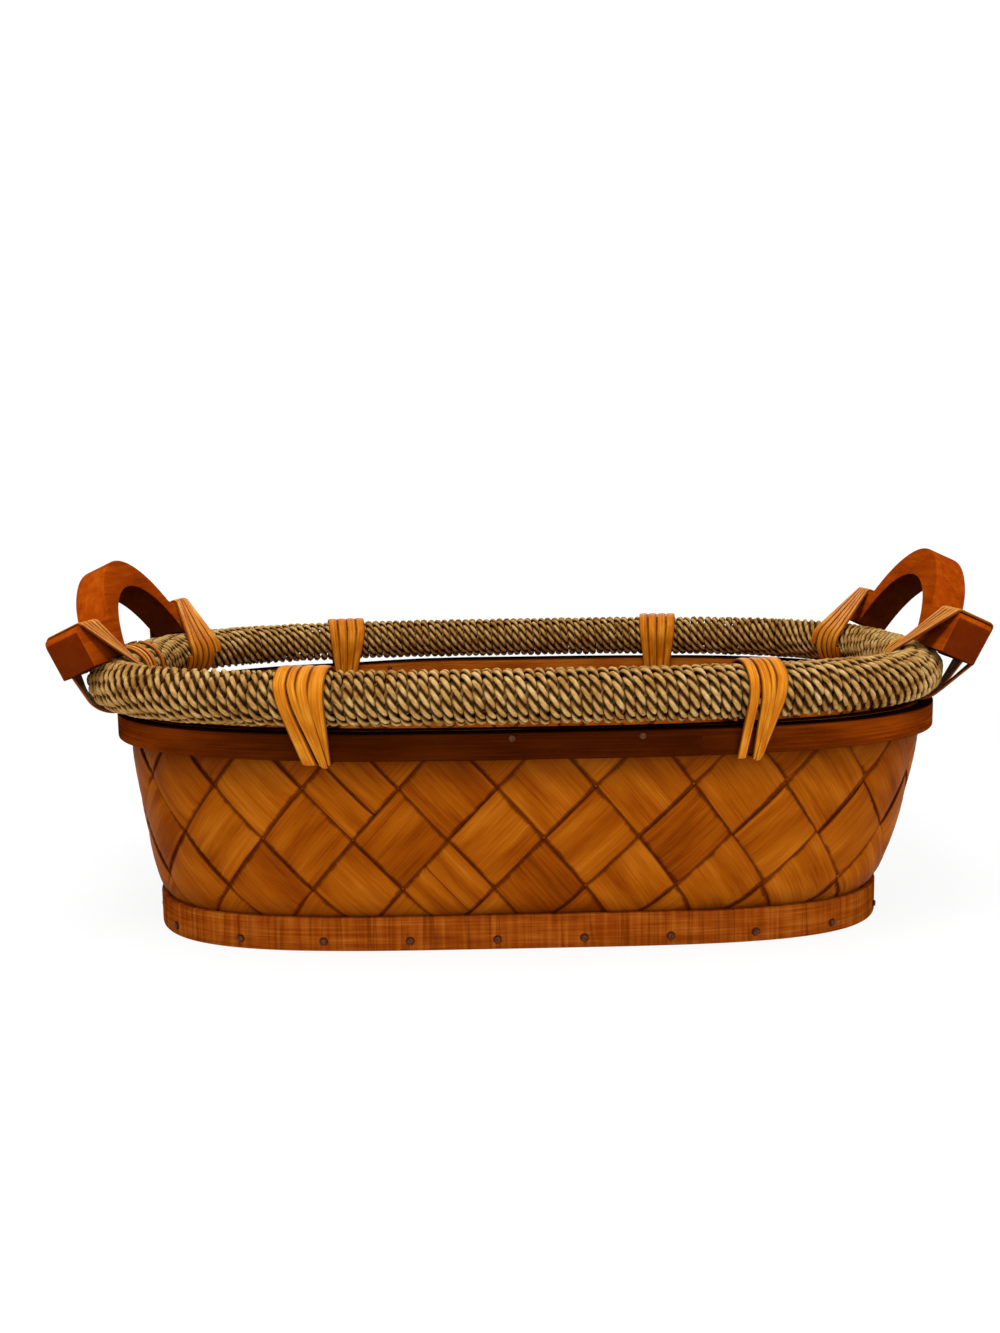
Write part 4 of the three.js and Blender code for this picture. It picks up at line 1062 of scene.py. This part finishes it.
def handle(name, side, cutter):
    outline, _ = handle_outline(side)
    piece = added(bpy.ops.mesh.primitive_circle_add, vertices=len(outline), fill_type="NGON")
    piece.name = name
    move_points(piece, np.pad(outline, ((0, 0), (0, 1))))
    solidify(piece, HANDLE["thickness"])
    bevel(piece, HANDLE["edge"], 5)
    apply_all(piece)
    length, height, depth = points_of(piece).T
    lean = np.radians(HANDLE["lean"])
    length, height, depth = rounded_arch(length, height, depth + HANDLE["thickness"] / 2, HANDLE_MIDDLE[side])
    out = depth * np.cos(lean) + height * np.sin(lean)
    up = height * np.cos(lean) - depth * np.sin(lean)
    move_points(piece, placed(np.stack([out, length, up], -1), handle_matrix(side)))
    point_outwards(piece)
    modify(piece, "BOOLEAN", operation="DIFFERENCE", solver="MANIFOLD", object=cutter)
    apply_all(piece)
    smooth(piece, 35)
    return piece


seat_cutter = rim_tube("seat_cutter", RIM_RADIUS + SEAT_CLEARANCE)
for end_name, side in (("left", -1), ("right", 1)):
    piece = handle(f"arched_handle_{end_name}", side, seat_cutter)
    finish_piece(piece, handle_wood, "handle", f"handle_{end_name}")
bpy.data.objects.remove(seat_cutter)


# Lashings round the handles' feet and the rim

def rim_section(matrix, side, end, footwise, shift):
    """Section of the rim where a lashing goes round it, slanted and `shift` nearer to the arch."""
    inverse = np.linalg.inv(matrix)
    quarter = rim_path.length / 4
    middle = quarter if side > 0 else 3 * quarter
    near, far = middle, middle + end * quarter * QUARTER_SHARE
    for _ in range(HALVINGS):
        halfway = (near + far) / 2
        if end * placed(frame_at(halfway)[0], inverse)[1] < footwise - shift:
            near = halfway
        else:
            far = halfway
    origin, _, along, _ = frame_at(near)
    centre = placed(origin, inverse)
    way = inverse[:3, :3] @ along
    across = (RIM_RADIUS + LASHING_BESIDE) / abs(way[1] - end * LASHING_SLANT * way[0])
    return (centre[0], centre[2]), across, RIM_RADIUS + LASHING_BELOW, shift, LASHING_SLANT


def lashing(name, side, end, setback, shift, seed):
    """One strip wound round a handle's foot and the rim, beside the arch."""
    rng = np.random.default_rng(seed)
    matrix = handle_matrix(side)
    fillet_x = handle_outline(side)[1]
    lean = np.radians(HANDLE["lean"])
    out_way = np.array([np.cos(lean), -np.sin(lean)])
    up_way = np.array([np.sin(lean), np.cos(lean)])
    bend = HANDLE["bend"]
    sides = (bend, HANDLE["thickness"] - bend), (bend, HANDLE["foot"] - bend)
    foot = [(tuple(out_way * a + up_way * b), bend, bend, 0.0, 0.0) for a in sides[0] for b in sides[1]]
    start = end * HANDLE_MIDDLE[side] + fillet_x + setback + LASHING_MARGIN
    angles = np.pi + TURN * np.arange(LASHING_STEPS) / LASHING_STEPS
    directions = np.stack([np.cos(angles), np.sin(angles)], -1)
    sections = {}

    def shapes_at(place):
        key = round(float(place), 1)
        if key not in sections:
            sections[key] = rim_section(matrix, side, end, key, shift)
        return [sections[key], *foot]

    def contact(place, direction, index=None):
        """Where the strip's line lies at a place along the foot: on a given shape, or on the outermost."""
        shapes = shapes_at(place)
        reaches, points = zip(*touching_points(shapes, direction))
        if index is None:
            index = int(np.argmax(reaches))
        (x, _), _, _, nearer, slant = shapes[index]
        footwise = place - nearer + slant * (points[index][0] - x)
        point = points[index] + direction * (max(reaches) - reaches[index])
        return (point[0], end * footwise, point[1]), index

    left, right, normals = [], [], []
    for turn in range(LASHING_TURNS + 1):
        turn_start = start + STRIP_PITCH * turn
        places = np.full(LASHING_STEPS, turn_start)
        for _ in range(3):
            touched = [contact(place, direction)[0] for place, direction in zip(places, directions)]
            loop = np.array(touched)[:, [0, 2]]
            lengths = path_length(np.concatenate([loop, loop[:1]]))
            places = turn_start + STRIP_PITCH * lengths[:-1] / lengths[-1]
        width = rng.uniform(*LASHING_WIDTHS)
        used = LASHING_STEPS if turn < LASHING_TURNS else 1
        for place, direction in list(zip(places, directions))[:used]:
            _, index = contact(place, direction)
            normals.append((direction[0], 0, direction[1]))
            for edge, line in ((-1, left), (1, right)):
                line.append(contact(place + edge * width / 2, direction, index)[0])
    left = placed(np.array(left), matrix)
    right = placed(np.array(right), matrix)
    normals = np.array(normals) @ matrix[:3, :3].T
    return strip_piece(name, left, right, normals)


# Each lashing's corner, side, end of the foot, setback from the arch, shift under the rim and seed
LASHINGS = [
    ("left_front", -1, 1, 10.0, 17.4, 6),
    ("left_back", -1, -1, 1.6, 17.4, 10),
    ("right_front", 1, -1, 10.0, 17.4, 8),
    ("right_back", 1, 1, 1.6, 26, 12),
]
for corner, *settings in LASHINGS:
    finish_piece(lashing(f"rattan_lashing_{corner}", *settings), rattan, "rattan", f"lashing_{corner}")


def rim_rings(name, places):
    """Plain rings of rattan round the wound rim: the middle of each, its width and its slant."""
    tubes = Tubes()
    turns = TURN * np.arange(RING_STEPS + 1) / RING_STEPS + np.pi / 2 + 0.04
    for index, (place, width, slant) in enumerate(places):
        edges = []
        for edge in (-1, 1):
            distance = place + edge * width / 2 + slant * np.sin(turns)
            origin, out, _, up = frame_at(distance)
            normal = swung(out, up, turns)
            edges.append(origin + normal * (RIM_RADIUS + RING_CLEARANCE))
        right, left = edges
        tubes.add(strip_rings(left[:-1], right[:-1], normal[:-1]), path_length(left[:-1]), index)
    return tubes.piece(name)


RINGS = {
    "left": [(-241.5, 4.2, 0.8), (-247.0, 4.0, 0.5), (-254.0, 4.4, 0.9), (-268.5, 4.2, 0.6)],
    "right": [(226.5, 2.0, 0.6), (229.6, 1.8, 0.6)],
}
for end_name, rings in RINGS.items():
    finish_piece(rim_rings(f"rattan_rings_{end_name}", rings), rattan, "rattan", "rim_winding")


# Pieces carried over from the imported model
for node, look in (("base_board", board_wood), ("rim_core", core_wood)):
    paint(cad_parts[node], look)


# Studio: pale floor and backdrop, soft light and the camera, in metres

STUDIO_SIZE = 8
STUDIO_GREY = (238, 238, 238)
FLOOR_KEPT_SHADE = 0.13
SHADE_FADES = (1300.0, 500.0)
LOOKED_AT_STRENGTH = 1.04
AIR_STRENGTH = 0.32


def studio_look(name, kept_shade):
    """Near white, and brought to white where it is looked at, apart from some shade near the basket."""
    look = Look(name, Roughness=0.9, Specular_IOR_Level=0.0)
    look.set("Base Color", srgb(*STUDIO_GREY))
    white = look.node("ShaderNodeEmission", {"Color": WHITE, "Strength": LOOKED_AT_STRENGTH})
    x, y, _ = look.place()
    kept = look.mask((x ** 2.0 + y ** 2.0).math("SQRT"), *SHADE_FADES) * kept_shade
    share = look.looked_at() * (1.0 - kept)
    look.end_in_mix("Material Output", share, Wire(look, look.shader.outputs[0]), white)
    return look.material


def studio_sheet(name, kept_shade, **settings):
    sheet = added(bpy.ops.mesh.primitive_plane_add, size=STUDIO_SIZE, **settings)
    sheet.name = name
    sheet.data.materials.append(studio_look(f"{name}_white", kept_shade))
    return sheet


floor = studio_sheet("studio_floor", FLOOR_KEPT_SHADE, location=(0, 0, -0.0004))
backdrop = studio_sheet("studio_backdrop", 0.0, location=(0, 3, 2), rotation=(np.pi / 2, 0, 0))

world = bpy.data.worlds.new("studio_air")
bpy.context.scene.world = world
world.use_nodes = True
air = Nodes(world.node_tree)
dim = air.tree.nodes["Background"]
air.feed(dim.inputs["Color"], WHITE)
air.feed(dim.inputs["Strength"], AIR_STRENGTH)
white_air = air.node("ShaderNodeBackground", {"Color": WHITE})
air.end_in_mix("World Output", air.looked_at(), Wire(air, dim.outputs[0]), white_air)

LAMPS = [
    ("top_lamp", (-0.1, -0.35, 1.3), (0, 0, 0.06), 0.6, 13),
    ("front_lamp", (0.3, -1.5, 0.45), (0, 0, 0.06), 1.0, 9),
    ("back_lamp", (0.2, 1.2, 1.0), (0, 0, 0.1), 0.8, 5),
]
for name, place, target, size, power in LAMPS:
    light = bpy.data.lights.new(name, "AREA")
    light.energy = power
    light.size = size
    lamp = new_object(name, light)
    lamp.location = place
    lamp.rotation_euler = (Vector(target) - Vector(place)).to_track_quat("-Z", "Y").to_euler()

# Camera: its place in millimetres, its turns in degrees and its focal length in picture heights
CAMERA_PLACE = (-14.6, -570.7, 178.05)
CAMERA_PITCH, CAMERA_YAW, CAMERA_ROLL = np.radians([7.0, 0.78, -0.87])
PHOTO_FOCAL_SHARE = 1150 / 1333
SENSOR = 36

camera_data = bpy.data.cameras.new("photo_camera")
camera_data.sensor_width = SENSOR
camera_data.lens = PHOTO_FOCAL_SHARE * SENSOR
camera_data.clip_start = 0.01
camera = new_object("photo_camera", camera_data)
place = Matrix.Translation([value * MM for value in CAMERA_PLACE])
for angle, axis in ((-CAMERA_YAW, "Z"), (np.pi / 2 - CAMERA_PITCH, "X"), (CAMERA_ROLL, "Z")):
    place = place @ Matrix.Rotation(angle, 4, axis)
camera.matrix_world = place
bpy.context.scene.camera = camera
bpy.context.scene.view_settings.view_transform = "Standard"
